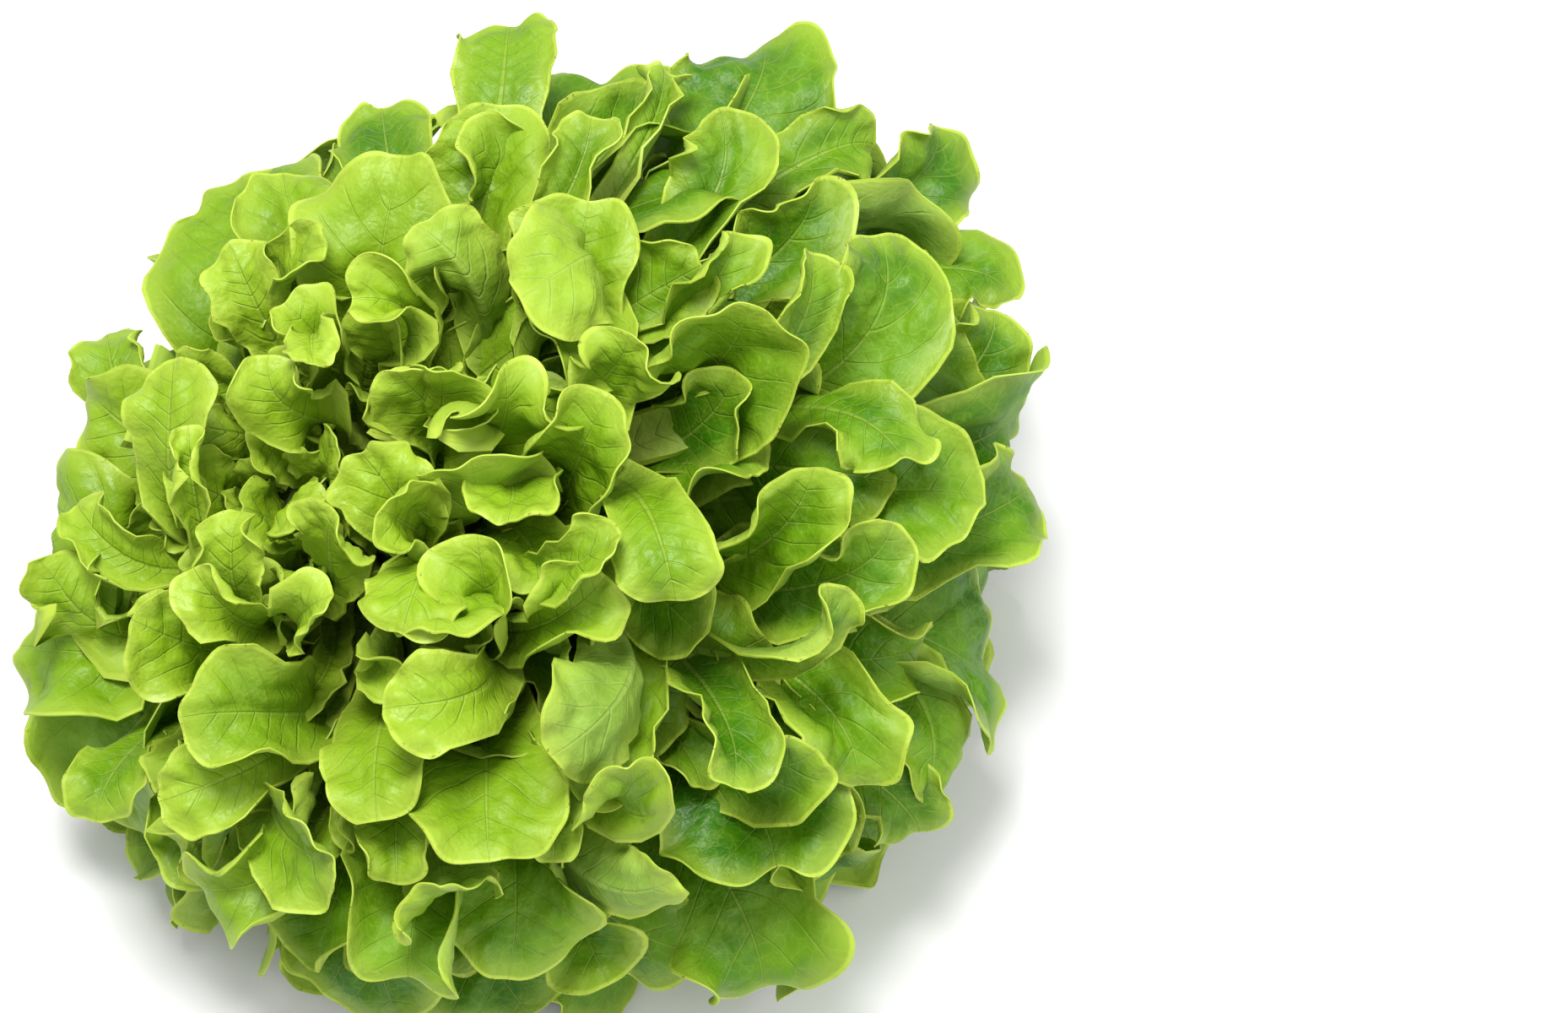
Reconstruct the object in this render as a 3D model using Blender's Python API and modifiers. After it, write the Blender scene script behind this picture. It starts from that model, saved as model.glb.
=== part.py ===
"""A head of green oak leaf lettuce, cut and resting on a flat surface. Metres, +Z up.

The head leans on the leaves of one side and on the edge of its cut stem, so its heart looks up and to
the left front. Its leaves stand on the stem by the golden angle, from the small ones of the heart to the
long drooping ones outside, and their tips close into one dome. Those that show best in the
photograph stand where it shows them.
"""

import math
import random

import bmesh
import bpy
import numpy as np
from mathutils import Vector

# The dome that the leaf tips make over the surface
DOME_CENTRE = np.array((0.0, 0.0, 0.066))
DOME_RADII = np.array((0.133, 0.153, 0.098))
DOME_TURN = math.radians(-34)
HEART_TILT = math.radians(36)
HEART_TOWARDS = math.radians(196)
HEART_DIP = 0.16
HEART_DIP_ANGLE = math.radians(18)
GROUND_WAY = -0.60
LOWEST_WAY = -0.84
LOWEST_TIP = 0.004
SKIRT_DRAW_IN = 0.16
LOWEST_BLADE = 0.0006
PLY = 0.0004
PLIES = 6

# The stem, the way it leans, and the stretches of it that belong to each node
LEAN = math.radians(24)
LEAN_TOWARDS = math.radians(242)
STEM_FOOT = np.array((-0.040, 0.030, 0.0057))
STEM_RADIUS = 0.0150
STEM_FOOT_RADIUS = 0.0141
STEM_LENGTH = 0.012
CROWN_TOP = 0.056
HEART_TOP = 0.098
CROWN_RADIUS = 0.034
HEART_TOP_RADIUS = 0.012
CORE_SIDES = 14
NODE_GAP = 0.0004
HEART_ROOTS = (0.090, 0.062)
OUTER_ROOTS = (0.050, 0.018)

# The leaves' order on the stem
LEAF_COUNT = 116
HEART_LEAVES = 26
GOLDEN_ANGLE = math.radians(137.508)
HEART_POLAR = math.radians(3)
OUTER_POLAR = math.radians(158)
POLAR_POWER = 0.86
POLAR_SPREAD = math.radians(3)
AZIMUTH_SPREAD = 0.12
LEVEL_SPREAD = (-0.02, 0.03)
HALF_WIDTH_SPREAD = (0.82, 1.14)
HEART_LIFT = 76
OUTER_LIFT = 30
LIFT_FALL = 8
LIFT_SPREAD = 16
SWING_SPREAD = 20
ROLL_SPREAD = 22
CUP_SPREAD = (-0.35, 1.0)
WAIST_SPREAD = (-0.25, 0.32)
WAVE_SPREAD = (0.08, 0.22)
WAVE_LENGTH_SPREAD = (1.3, 2.4)
SEED = 41

# The cone that parts the heart from the outer leaves
CONE_SLOPE = 0.70
CONE_MARGIN = 0.0016
CONE_REACH = 0.2

# One leaf. Its blade is measured back from its tip in its own half widths
HALF_WIDTH_HEART = 0.0105
HALF_WIDTH_OUTER = 0.0262
SEEN_WIDENING = 1.06
TIP_EDGE = 0.35
BLADE_END = 4.6
STALK_SHARE = 0.44
WAIST_AT = 2.1
WAIST_REACH = 0.45
HANDLE = 2.4
SEEN_HANDLE = 1.6
BLADE_THICKNESS = 0.0012
ROOT_DEPTH = 0.004
MIDRIB_STEPS = 32
ROWS_HEART = (0.0, 0.9, 2.2)
ROWS_OUTER = (0.0, 0.9, 2.3)

LEAF_GREEN = (0.16, 0.36, 0.02, 1.0)
HEART_GREEN = (0.38, 0.58, 0.06, 1.0)
STEM_CREAM = (0.72, 0.74, 0.48, 1.0)

# Where the photograph is looked at from, and its frame in pixels
VIEW_ELEVATION = math.radians(62)
VIEW_DISTANCE = 1.031
VIEW_TARGET = np.array((0.0696, 0.0, 0.080))
PHOTO_MIDDLE = (929, 600)
FOCAL_PIXELS = 4387

# The leaves that show best in the photograph. Each has the pixel of its tip and how far the tip stands
# out of the dome towards the viewer in mm, the same for the throat that its blade rises from, its half
# width in mm, its cup, its roll in degrees and the depth of its waist
SEEN_LEAVES = {
    "cupped": ((895, 350), 16, (850, 520), -14, 21.5, 0.95, 0, 0.0),
    "spoon": ((1045, 272), 10, (1095, 480), -6, 19.5, 0.55, 10, 0.0),
    "top": ((602, 18), 14, (605, 170), -12, 14, 0.2, 0, 0.0),
    "oval": ((205, 425), 8, (208, 600), -8, 12, 0.15, 0, 0.1),
    "left back": ((125, 392), 2, (150, 560), -14, 13, 0.1, 0, 0.0),
    "wide": ((475, 200), 12, (440, 330), -10, 21, 0.35, 0, 0.15),
    "wide left": ((335, 208), 8, (365, 330), -12, 15.5, 0.3, 0, 0.0),
    "far left": ((300, 185), -2, (290, 380), -20, 24.5, 0.1, 0, 0.1),
    "top right": ((905, 32), 10, (930, 150), -14, 23.5, -0.45, 0, 0.0),
    "folded": ((722, 470), 12, (645, 600), -10, 14, 1.25, -10, 0.0),
    "curled oval": ((795, 690), 10, (765, 545), 4, 13.5, -0.5, 0, 0.0),
    "long cup": ((965, 548), 10, (930, 740), -12, 13.5, 1.1, 0, 0.0),
    "hanging cup": ((868, 935), 10, (905, 780), -8, 13, 0.8, 0, 0.0),
    "side cup": ((985, 890), 10, (870, 975), -6, 13, 0.9, 0, 0.0),
    "bowl": ((930, 1070), 6, (935, 950), -8, 24, 0.55, 0, 0.0),
    "lowest right": ((905, 1195), 0, (915, 1060), -14, 23.5, 0.15, 0, 0.15),
    "round": ((578, 1028), 12, (572, 890), -6, 18.5, 0.35, 0, 0.0),
    "pointing left": ((455, 838), 10, (625, 835), -4, 10, 0.3, 0, 0.0),
    "facing": ((445, 968), 8, (440, 850), -8, 14, 0.25, 0, 0.0),
    "two lobed": ((1225, 575), 6, (1075, 700), -10, 17.5, 0.3, 0, 0.2),
    "two lobed low": ((1095, 945), 6, (1165, 720), 0, 12, 0.3, 0, 0.0),
    "lowest left": ((218, 1050), 2, (400, 1070), -8, 14.5, 0.15, 0, 0.1),
    "twisted": ((470, 1180), 6, (500, 1020), -10, 14.5, 0.9, 0, 0.0),
    "lowest": ((605, 1172), -4, (640, 1060), -14, 21.5, 0.2, 0, 0.1),
    "wavy left": ((190, 950), 6, (350, 900), -6, 12, 0.3, 0, 0.1),
    "blistered": ((215, 850), 12, (335, 825), -4, 15.5, 0.25, 0, 0.0),
    "round left": ((150, 730), 10, (240, 780), -8, 14.5, 0.35, 0, 0.0),
    "rim left": ((8, 770), 0, (110, 800), -14, 19.5, 0.2, 0, 0.1),
    "standing left": ((55, 662), 4, (105, 800), -12, 10.5, 0.5, 0, 0.2),
    "low left": ((112, 975), 4, (130, 860), -10, 11.5, 0.4, 0, 0.0),
    "dark cup": ((400, 1018), 6, (270, 965), -8, 11, 0.8, 0, 0.0),
    "fold right": ((650, 885), 8, (770, 770), -8, 13.5, 1.2, 20, 0.0),
    "pale fold": ((625, 360), 12, (775, 275), -4, 14.5, 1.1, -15, 0.0),
    "pale left": ((500, 262), 10, (610, 330), -6, 12, 0.5, 0, 0.0),
    "upper left": ((540, 160), 10, (660, 185), -8, 12.5, 0.4, 0, 0.0),
    "right low": ((1015, 930), 0, (1000, 780), -14, 14, 0.6, 0, 0.0),
    "right upper": ((1035, 175), 6, (940, 170), -8, 12, 0.5, 0, 0.0),
    "below spoon": ((1075, 560), 4, (1020, 420), -10, 13, 0.2, 0, 0.0),
    "mid low": ((515, 760), 10, (520, 630), -4, 17.5, -0.25, 0, 0.0),
    "back left": ((452, 126), 2, (470, 250), -14, 14.5, 0.25, 0, 0.1),
    "heart right": ((465, 430), 10, (520, 520), -6, 12, 0.3, 0, 0.0),
}


def clear_scene():
    for old in list(bpy.data.objects):
        bpy.data.objects.remove(old)


def smooth(low, high, value):
    """0 below low, 1 above high, and an even curve between them."""
    share = np.clip((value - low) / (high - low), 0.0, 1.0)
    return share * share * (3 - 2 * share)


def mix(a, b, share):
    return a + (b - a) * share


def unit(way):
    """A direction, or each row of a table of them, made one long."""
    return way / np.linalg.norm(way, axis=-1, keepdims=True)


def tilted(tilt, towards):
    """A direction tilted from upright towards a bearing, and the level direction of that bearing."""
    bearing = np.array((math.cos(towards), math.sin(towards), 0.0))
    return bearing * math.sin(tilt) + np.array((0.0, 0.0, math.cos(tilt))), bearing


def dome_shape():
    """The matrix that makes the dome from a ball, and its inverse."""
    c, s = math.cos(DOME_TURN), math.sin(DOME_TURN)
    turn = np.array(((c, -s, 0.0), (s, c, 0.0), (0.0, 0.0, 1.0)))
    shape = turn @ np.diag(DOME_RADII) @ turn.T
    return shape, np.linalg.inv(shape)


SHAPE, UNSHAPE = dome_shape()
TO_VIEWER = np.array((0.0, -math.cos(VIEW_ELEVATION), math.sin(VIEW_ELEVATION)))
VIEW_RIGHT = np.array((1.0, 0.0, 0.0))
VIEW_UP = np.cross(TO_VIEWER, VIEW_RIGHT)
AXIS, _ = tilted(LEAN, LEAN_TOWARDS)
POLE, POLE_BEARING = tilted(HEART_TILT, HEART_TOWARDS)
POLE_SIDE = unit(np.cross(POLE, POLE_BEARING))
POLE_AHEAD = np.cross(POLE_SIDE, POLE)


def dome_point(polar, azimuth, level):
    """A point of the dome by its polar angle from the heart and its azimuth. A level of 1 is on the dome."""
    sideways = POLE_AHEAD * math.cos(azimuth) + POLE_SIDE * math.sin(azimuth)
    return DOME_CENTRE + SHAPE @ (POLE * math.cos(polar) + sideways * math.sin(polar)) * level


def skirted_point(polar, azimuth, level):
    """A point of the dome whose lower half falls to the surface almost upright, like a skirt.

    Where the dome would be too far under the surface there is none.
    """
    way = UNSHAPE @ (dome_point(polar, azimuth, 1.0) - DOME_CENTRE)
    if way[2] >= 0:
        return DOME_CENTRE + SHAPE @ way * level
    if way[2] < LOWEST_WAY:
        return None
    rim = SHAPE @ np.array((*unit(way[:2]), 0.0)) * level * (1 - SKIRT_DRAW_IN * way[2] ** 2)
    return np.array((rim[0], rim[1], max(LOWEST_TIP, DOME_CENTRE[2] * (1 - way[2] / GROUND_WAY))))


def dome_normal(point):
    """The direction that the dome faces near a point. Its skirt faces level."""
    way = UNSHAPE @ UNSHAPE @ (point - DOME_CENTRE)
    way[2] = max(way[2], 0.0)
    return unit(way)


def seen_on_dome(pixel, out_mm):
    """The dome's point at a pixel of the photograph, moved out towards the viewer.

    A pixel past the dome's edge gives the nearest place to it on that line of sight.
    """
    right, down = (np.array(pixel) - PHOTO_MIDDLE) / FOCAL_PIXELS
    way = unit(VIEW_RIGHT * right - VIEW_UP * down - TO_VIEWER)
    eye = VIEW_TARGET + TO_VIEWER * VIEW_DISTANCE
    start, step = UNSHAPE @ (eye - DOME_CENTRE), UNSHAPE @ way
    a, b, c = step.dot(step), 2 * start.dot(step), start.dot(start) - 1
    reach = (-b - math.sqrt(max(0.0, b * b - 4 * a * c))) / (2 * a)
    point = eye + way * (reach - out_mm / 1000)
    point[2] = max(point[2], LOWEST_TIP)
    return point


def core_radius(height):
    """The radius of the stem's stretches at a height along it."""
    heights = (STEM_LENGTH, CROWN_TOP, HEART_TOP)
    return np.interp(height, heights, (STEM_RADIUS, CROWN_RADIUS, HEART_TOP_RADIUS))


def turned(way, about, angle):
    """A direction turned about another by an angle."""
    along = about * way.dot(about)
    return along + (way - along) * math.cos(angle) + np.cross(about, way) * math.sin(angle)


def ruled_leaf(order, draw):
    """The leaf that the golden angle gives for its place in the order, with its own measures."""
    share = (order + 0.5) / LEAF_COUNT
    polar = mix(HEART_POLAR, OUTER_POLAR, share**POLAR_POWER) + POLAR_SPREAD * draw.uniform(-1, 1) * share
    azimuth = order * GOLDEN_ANGLE + AZIMUTH_SPREAD * draw.uniform(-1, 1)
    grown = smooth(0.0, 0.42, share)
    outer = smooth(0.5, 1.0, share)
    dip = 1 - HEART_DIP * math.exp(-((polar / HEART_DIP_ANGLE) ** 2))
    tip = skirted_point(polar, azimuth, dip + draw.uniform(*LEVEL_SPREAD))
    if tip is None:
        return None
    half = mix(HALF_WIDTH_HEART, HALF_WIDTH_OUTER, grown) * draw.uniform(*HALF_WIDTH_SPREAD)
    normal = dome_normal(tip)
    away = tip - dome_point(0.0, 0.0, 1 - HEART_DIP)
    away = unit(away - normal * away.dot(normal))
    lift = mix(HEART_LIFT, OUTER_LIFT, grown) - LIFT_FALL * outer + LIFT_SPREAD * draw.uniform(-1, 1)
    lift = math.radians(lift)
    along = away * math.cos(lift) + normal * math.sin(lift)
    face = normal * math.cos(lift) - away * math.sin(lift)
    along = turned(along, face, math.radians(SWING_SPREAD * draw.uniform(-1, 1)))
    return {
        "share": share,
        "tip": tip,
        "along": along,
        "face": turned(face, along, math.radians(ROLL_SPREAD * draw.uniform(-1, 1))),
        "handle": half * HANDLE,
        "half": half,
        "cup": draw.uniform(*CUP_SPREAD),
        "waist": max(0.0, draw.uniform(*WAIST_SPREAD)),
        "wave": draw.uniform(*WAVE_SPREAD),
        "wave_length": draw.uniform(*WAVE_LENGTH_SPREAD),
        "wave_left": draw.uniform(0, math.tau),
        "wave_right": draw.uniform(0, math.tau),
    }


def seen_leaf(tip_pixel, tip_out, throat_pixel, throat_out, half_mm, cup, roll, waist):
    """The measures that the photograph gives for one leaf."""
    tip = seen_on_dome(tip_pixel, tip_out)
    throat = seen_on_dome(throat_pixel, throat_out)
    along = unit(tip - throat)
    shown = dome_normal((tip + throat) / 2) + TO_VIEWER
    face = unit(shown - along * shown.dot(along))
    half = half_mm / 1000 * SEEN_WIDENING * abs(cup) / math.sin(abs(cup))
    return {
        "tip": tip,
        "along": along,
        "face": turned(face, along, math.radians(roll)),
        "handle": max(np.linalg.norm(tip - throat), half * SEEN_HANDLE),
        "half": half,
        "cup": cup,
        "waist": waist,
    }


def leaf_plan():
    """Every leaf from the heart outwards, without those whose tips would be under the surface."""
    draw = random.Random(SEED)
    plan = [ruled_leaf(order, draw) for order in range(LEAF_COUNT)]
    plan = [leaf for leaf in plan if leaf]
    free = list(range(HEART_LEAVES // 2, len(plan)))
    for seen in SEEN_LEAVES.values():
        measures = seen_leaf(*seen)
        nearest = min(free, key=lambda order: np.linalg.norm(plan[order]["tip"] - measures["tip"]))
        free.remove(nearest)
        plan[nearest].update(measures)
    for order, leaf in enumerate(plan):
        leaf["order"] = order
        leaf["height"] = mix(*HEART_ROOTS, order / HEART_LEAVES)
        if order >= HEART_LEAVES:
            down = (order - HEART_LEAVES) / (len(plan) - HEART_LEAVES)
            leaf["height"] = mix(*OUTER_ROOTS, down)
    return plan


def outline(leaf, back):
    """A leaf's half width as a share of its widest, at distances back from its tip in half widths."""
    round_end = np.sqrt(1 - np.clip(1 - back, 0.0, 1.0) ** 2)
    narrowing = mix(1.0, STALK_SHARE, smooth(1.2, BLADE_END, back))
    waist = 1 - leaf["waist"] * np.exp(-(((back - WAIST_AT) / WAIST_REACH) ** 2))
    return round_end * narrowing * waist


def midrib(leaf):
    """Points along a leaf's midrib from its root to its tip, and their distances from the tip."""
    centre = STEM_FOOT + AXIS * leaf["height"]
    joint = leaf["tip"] - leaf["along"] * leaf["handle"]
    out = unit((joint - centre) - AXIS * (joint - centre).dot(AXIS))
    root = centre + out * (core_radius(leaf["height"]) - ROOT_DEPTH)
    reach = np.linalg.norm(joint - root)
    rise = mix(0.9, 0.25, leaf["share"])
    start = unit(AXIS * rise + out)
    swing = root + start * reach * 0.5
    s = np.linspace(0.0, 1.0, MIDRIB_STEPS)[:, None]
    r = 1 - s
    points = root * r**3 + swing * 3 * r * r * s + joint * 3 * r * s * s + leaf["tip"] * s**3
    steps = np.linalg.norm(np.diff(points, axis=0), axis=1)
    back = np.concatenate((np.cumsum(steps[::-1])[::-1], [0.0]))
    return points, back, out


def along_curve(table, back, places):
    """The rows of a table, given at falling distances back from a tip, at other such places."""
    return np.stack([np.interp(places, back[::-1], column[::-1]) for column in table.T], axis=1)


def blade_points(leaf, u, back):
    """A blade's middle surface: u from -1 to 1 across it, back as the distance from its tip."""
    half = leaf["half"]
    points, marks, out = midrib(leaf)
    back = back + TIP_EDGE * half * (1 - smooth(0.0, 1.6, back / half)) * u * u
    open_blade = 1 - smooth(1.6, BLADE_END, back / half)
    spot = along_curve(points, marks, back)
    along = unit(along_curve(np.gradient(points, axis=0), marks, back))
    root_face = AXIS * 0.5 - out
    face = mix(root_face, leaf["face"], smooth(0.75, 0.25, back / marks[0])[:, None])
    face = unit(face - along * (face * along).sum(axis=1, keepdims=True))
    side = np.cross(along, face)
    width = half * outline(leaf, back / half)
    cup = mix(1.0, leaf["cup"], open_blade)
    cup = np.where(np.abs(cup) < 0.02, 0.02, cup)
    across = width * np.sin(cup * u) / cup
    rise = width * (1 - np.cos(cup * u)) / cup
    turns = math.tau * back / half / leaf["wave_length"]
    wave = np.where(u < 0, np.sin(turns + leaf["wave_left"]), np.sin(turns + leaf["wave_right"]))
    rise = rise + wave * leaf["wave"] * half * open_blade * u * u
    return spot + side * across[:, None] + face * rise[:, None]


def kept_apart(leaf, points):
    """Points kept on their own side of the cone, and over the surface that the head lies on."""
    reach = points - STEM_FOOT
    height = reach @ AXIS
    out = reach - AXIS * height[:, None]
    radius = np.linalg.norm(out, axis=1)
    if leaf["order"] < HEART_LEAVES:
        height = np.maximum(height, CROWN_TOP + CONE_MARGIN)
        wall = CROWN_RADIUS + CONE_SLOPE * (height - CROWN_TOP)
        wanted = np.minimum(radius, wall - CONE_MARGIN)
    else:
        wall = CROWN_RADIUS + CONE_SLOPE * (height - CROWN_TOP)
        wanted = np.where(height > CROWN_TOP - CONE_MARGIN, np.maximum(radius, wall + CONE_MARGIN), radius)
    points = STEM_FOOT + AXIS * height[:, None] + out * (wanted / np.maximum(radius, 1e-6))[:, None]
    lowest = LOWEST_BLADE + PLY * (leaf["order"] % PLIES)
    points[:, 2] = np.maximum(points[:, 2], lowest)
    return points


def blade(leaf):
    """One leaf as a thin closed blade, split into triangles alike on both faces."""
    rows = ROWS_HEART if leaf["order"] < HEART_LEAVES else ROWS_OUTER
    _, marks, _ = midrib(leaf)
    places = [row * leaf["half"] for row in rows if row * leaf["half"] < marks[0] * 0.8]
    places.append(marks[0])
    shape = bmesh.new()
    bmesh.ops.create_grid(shape, x_segments=2, y_segments=len(places) - 1, size=1)
    corners = list(shape.verts)
    u = np.array([corner.co.x for corner in corners])
    row = np.array([round((1 - corner.co.y) / 2 * (len(places) - 1)) for corner in corners])
    points = kept_apart(leaf, blade_points(leaf, u, np.array(places)[row]))
    for corner, point in zip(corners, points):
        corner.co = point
    bmesh.ops.triangulate(shape, faces=shape.faces[:])
    bmesh.ops.recalc_face_normals(shape, faces=shape.faces[:])
    mesh = bpy.data.meshes.new("blade")
    shape.to_mesh(mesh)
    shape.free()
    leaf_object = bpy.data.objects.new("blade", mesh)
    wall = leaf_object.modifiers.new("thickness", "SOLIDIFY")
    wall.thickness = BLADE_THICKNESS
    wall.offset = 0
    return leaf_object


def core(name, low, high, low_radius, high_radius):
    """A stretch of the stem, from low to high along its axis."""
    shape = bmesh.new()
    bmesh.ops.create_cone(
        shape,
        cap_ends=True,
        segments=CORE_SIDES,
        radius1=low_radius,
        radius2=high_radius,
        depth=high - low,
    )
    turn = Vector(AXIS).to_track_quat("Z", "Y").to_matrix().to_4x4()
    turn.translation = STEM_FOOT + AXIS * (low + high) / 2
    bmesh.ops.transform(shape, matrix=turn, verts=shape.verts[:])
    mesh = bpy.data.meshes.new(name)
    shape.to_mesh(mesh)
    shape.free()
    return bpy.data.objects.new(name, mesh)


def material(name, colour, roughness):
    made = bpy.data.materials.new(name)
    made.use_nodes = True
    shader = made.node_tree.nodes["Principled BSDF"]
    shader.inputs["Base Color"].default_value = colour
    shader.inputs["Roughness"].default_value = roughness
    shader.inputs["Metallic"].default_value = 0.0
    return made


def keep_largest_body(mesh):
    """Drops the loose scraps of a union, and the walls of hollows that it sealed."""
    shape = bmesh.new()
    shape.from_mesh(mesh)
    left = set(shape.faces)
    bodies = []
    while left:
        edge_on = [left.pop()]
        body = set(edge_on)
        while edge_on:
            face = edge_on.pop()
            for edge in face.edges:
                for other in edge.link_faces if len(edge.link_faces) == 2 else ():
                    if other in left:
                        left.discard(other)
                        body.add(other)
                        edge_on.append(other)
        bodies.append(body)
    bodies.sort(key=len)
    scraps = [face for body in bodies[:-1] for face in body]
    bmesh.ops.delete(shape, geom=scraps, context="FACES")
    shape.to_mesh(mesh)
    shape.free()


def heart_cutter():
    """The cone that the outer leaves are cut back to, so that the heart stands free of them."""
    top_radius = CROWN_RADIUS + CONE_SLOPE * CONE_REACH
    cutter = core("heart_cutter", CROWN_TOP - NODE_GAP, CROWN_TOP + CONE_REACH, CROWN_RADIUS, top_radius)
    cutter.hide_render = True
    cutter.display_type = "WIRE"
    HEAD.objects.link(cutter)
    return cutter


def leafy_node(name, stalk, leaves, finish, cutter=None):
    """The leaves and the stretch of stem that they grow from, joined into one solid."""
    blades = bpy.data.collections.new(name + "_blades")
    bpy.context.scene.collection.children.link(blades)
    for leaf in leaves:
        blades.objects.link(blade(leaf))
    HEAD.objects.link(stalk)
    union = stalk.modifiers.new("leaves", "BOOLEAN")
    union.operand_type = "COLLECTION"
    union.collection = blades
    union.operation = "UNION"
    union.solver = "MANIFOLD"
    if cutter:
        cut = stalk.modifiers.new("room for the heart", "BOOLEAN")
        cut.object = cutter
        cut.operation = "DIFFERENCE"
        cut.solver = "MANIFOLD"
    graph = bpy.context.evaluated_depsgraph_get()
    mesh = bpy.data.meshes.new_from_object(stalk.evaluated_get(graph))
    stalk.modifiers.clear()
    keep_largest_body(mesh)
    stalk.data = mesh
    mesh.materials.clear()
    mesh.materials.append(finish)
    for old in list(blades.objects):
        bpy.data.objects.remove(old)
    bpy.data.collections.remove(blades)


clear_scene()
HEAD = bpy.data.collections.new("oak_leaf_lettuce")
bpy.context.scene.collection.children.link(HEAD)
LEAVES = leaf_plan()
BUTT = core("stem", 0.0, STEM_LENGTH, STEM_FOOT_RADIUS, STEM_RADIUS)
BUTT.data.materials.append(material("stem_cream", STEM_CREAM, 0.55))
HEAD.objects.link(BUTT)
CUTTER = heart_cutter()
leafy_node(
    "outer_leaves",
    core("outer_leaves", STEM_LENGTH + NODE_GAP, CROWN_TOP - NODE_GAP, STEM_RADIUS, CROWN_RADIUS),
    [leaf for leaf in LEAVES if leaf["order"] >= HEART_LEAVES],
    material("leaf_green", LEAF_GREEN, 0.42),
    CUTTER,
)
bpy.data.objects.remove(CUTTER)
leafy_node(
    "heart_leaves",
    core("heart_leaves", CROWN_TOP, HEART_TOP, CROWN_RADIUS - CONE_MARGIN, HEART_TOP_RADIUS),
    [leaf for leaf in LEAVES if leaf["order"] < HEART_LEAVES],
    material("heart_green", HEART_GREEN, 0.42),
)
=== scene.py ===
"""The looks of a head of green oak leaf lettuce: every leaf of the part again, thin, veined and wavy.

The plan of the leaves is the part's own, so each fine leaf stands at its plain one or near it. Sizes are in
metres where a comment doesn't say otherwise.
"""

import math
import random

import bmesh
import bpy
import numpy as np
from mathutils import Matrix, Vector
from mathutils.bvhtree import BVHTree


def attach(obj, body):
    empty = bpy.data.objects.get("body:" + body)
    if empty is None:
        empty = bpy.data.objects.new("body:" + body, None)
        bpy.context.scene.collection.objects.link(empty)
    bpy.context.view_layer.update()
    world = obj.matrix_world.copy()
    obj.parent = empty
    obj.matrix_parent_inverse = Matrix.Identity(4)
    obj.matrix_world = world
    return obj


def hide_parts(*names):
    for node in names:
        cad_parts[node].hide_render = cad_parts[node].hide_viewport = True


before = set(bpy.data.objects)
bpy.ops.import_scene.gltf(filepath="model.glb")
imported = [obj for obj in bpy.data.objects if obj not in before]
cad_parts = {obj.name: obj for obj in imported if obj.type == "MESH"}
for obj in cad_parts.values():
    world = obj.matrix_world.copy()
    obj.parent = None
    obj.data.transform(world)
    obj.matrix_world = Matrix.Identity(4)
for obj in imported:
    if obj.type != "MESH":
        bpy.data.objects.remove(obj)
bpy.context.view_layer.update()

MM = 1000
TINY = 1e-6

# The dome that the leaf tips make over the ground, and how the lowest blades lie on it
DOME_CENTRE = np.array((0.0, 0.0, 0.066))
DOME_RADII = np.array((0.133, 0.153, 0.098))
DOME_TURN = math.radians(-34)
HEART_TILT = math.radians(36)
HEART_TOWARDS = math.radians(196)
HEART_DIP = 0.16
HEART_DIP_ANGLE = math.radians(18)
GROUND_WAY = -0.60
LOWEST_WAY = -0.84
LOWEST_TIP = 0.004
SKIRT_DRAW_IN = 0.16
LOWEST_BLADE = 0.0008
SOFT_GROUND = 0.0015
PLY = 0.0004
PLIES = 6

# The stem: its lean, its shape, its finish and the stretches that the leaves grow from
LEAN = math.radians(24)
LEAN_TOWARDS = math.radians(242)
STEM_FOOT = np.array((-0.040, 0.030, 0.0057))
STEM_RADIUS = 0.0150
STEM_LENGTH = 0.012
CROWN_TOP = 0.056
HEART_TOP = 0.098
CROWN_RADIUS = 0.034
HEART_TOP_RADIUS = 0.012
STEM_SIDES = 56
STEM_RINGS = 44
STEM_SUNK = 0.004
STEM_TOP = 0.072
STEM_INSIDE = 0.0008
STEM_SCAR = 0.0006
STEM_SCAR_GAP = 0.009
STEM_SCAR_TURNS = 5
STEM_LOWEST = 0.0002
STEM_CREAM = (0.72, 0.70, 0.46, 1.0)
STEM_GREEN = (0.30, 0.46, 0.06, 1.0)
STEM_BROWN = (0.36, 0.20, 0.08, 1.0)
STEM_STRINGS = (420.0, 420.0, 60.0)
STRING_DETAIL = 3.0
STEM_STAINS = (90.0, 5.0)
CUT_HEIGHTS = (0.006, 0.001)
STRING_HEIGHTS = (0.0, 0.02)
GREEN_HEIGHTS = (0.012, 0.05)
STAINED = (0.42, 0.62)
LEAST_STAIN = 0.25
STEM_ROUGHNESS = (0.3, 0.4)
STRING_RELIEF = 0.4
STRING_DEPTH = 0.0005
HEART_ROOTS = (0.090, 0.062)
OUTER_ROOTS = (0.050, 0.018)

# The plan of the leaves from the heart outwards. Their lifts, swings and rolls are in degrees
LEAF_COUNT = 116
HEART_LEAVES = 26
GOLDEN_ANGLE = math.radians(137.508)
HEART_POLAR = math.radians(3)
OUTER_POLAR = math.radians(158)
POLAR_POWER = 0.86
POLAR_SPREAD = math.radians(3)
AZIMUTH_SPREAD = 0.12
LEVEL_SPREAD = (-0.02, 0.03)
HALF_WIDTH_SPREAD = (0.82, 1.14)
HEART_LIFT = 76
OUTER_LIFT = 30
GROWN_FROM = 0.42
LIFT_FALLS_FROM = 0.5
LIFT_FALL = 8
LIFT_SPREAD = 16
SWING_SPREAD = 20
ROLL_SPREAD = 22
CUP_SPREAD = (-0.35, 1.0)
WAIST_SPREAD = (-0.25, 0.32)
WAVE_SPREAD = (0.08, 0.22)
WAVE_LENGTH_SPREAD = (1.3, 2.4)
SEED = 41
SEEDS_APART = 1000

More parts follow.
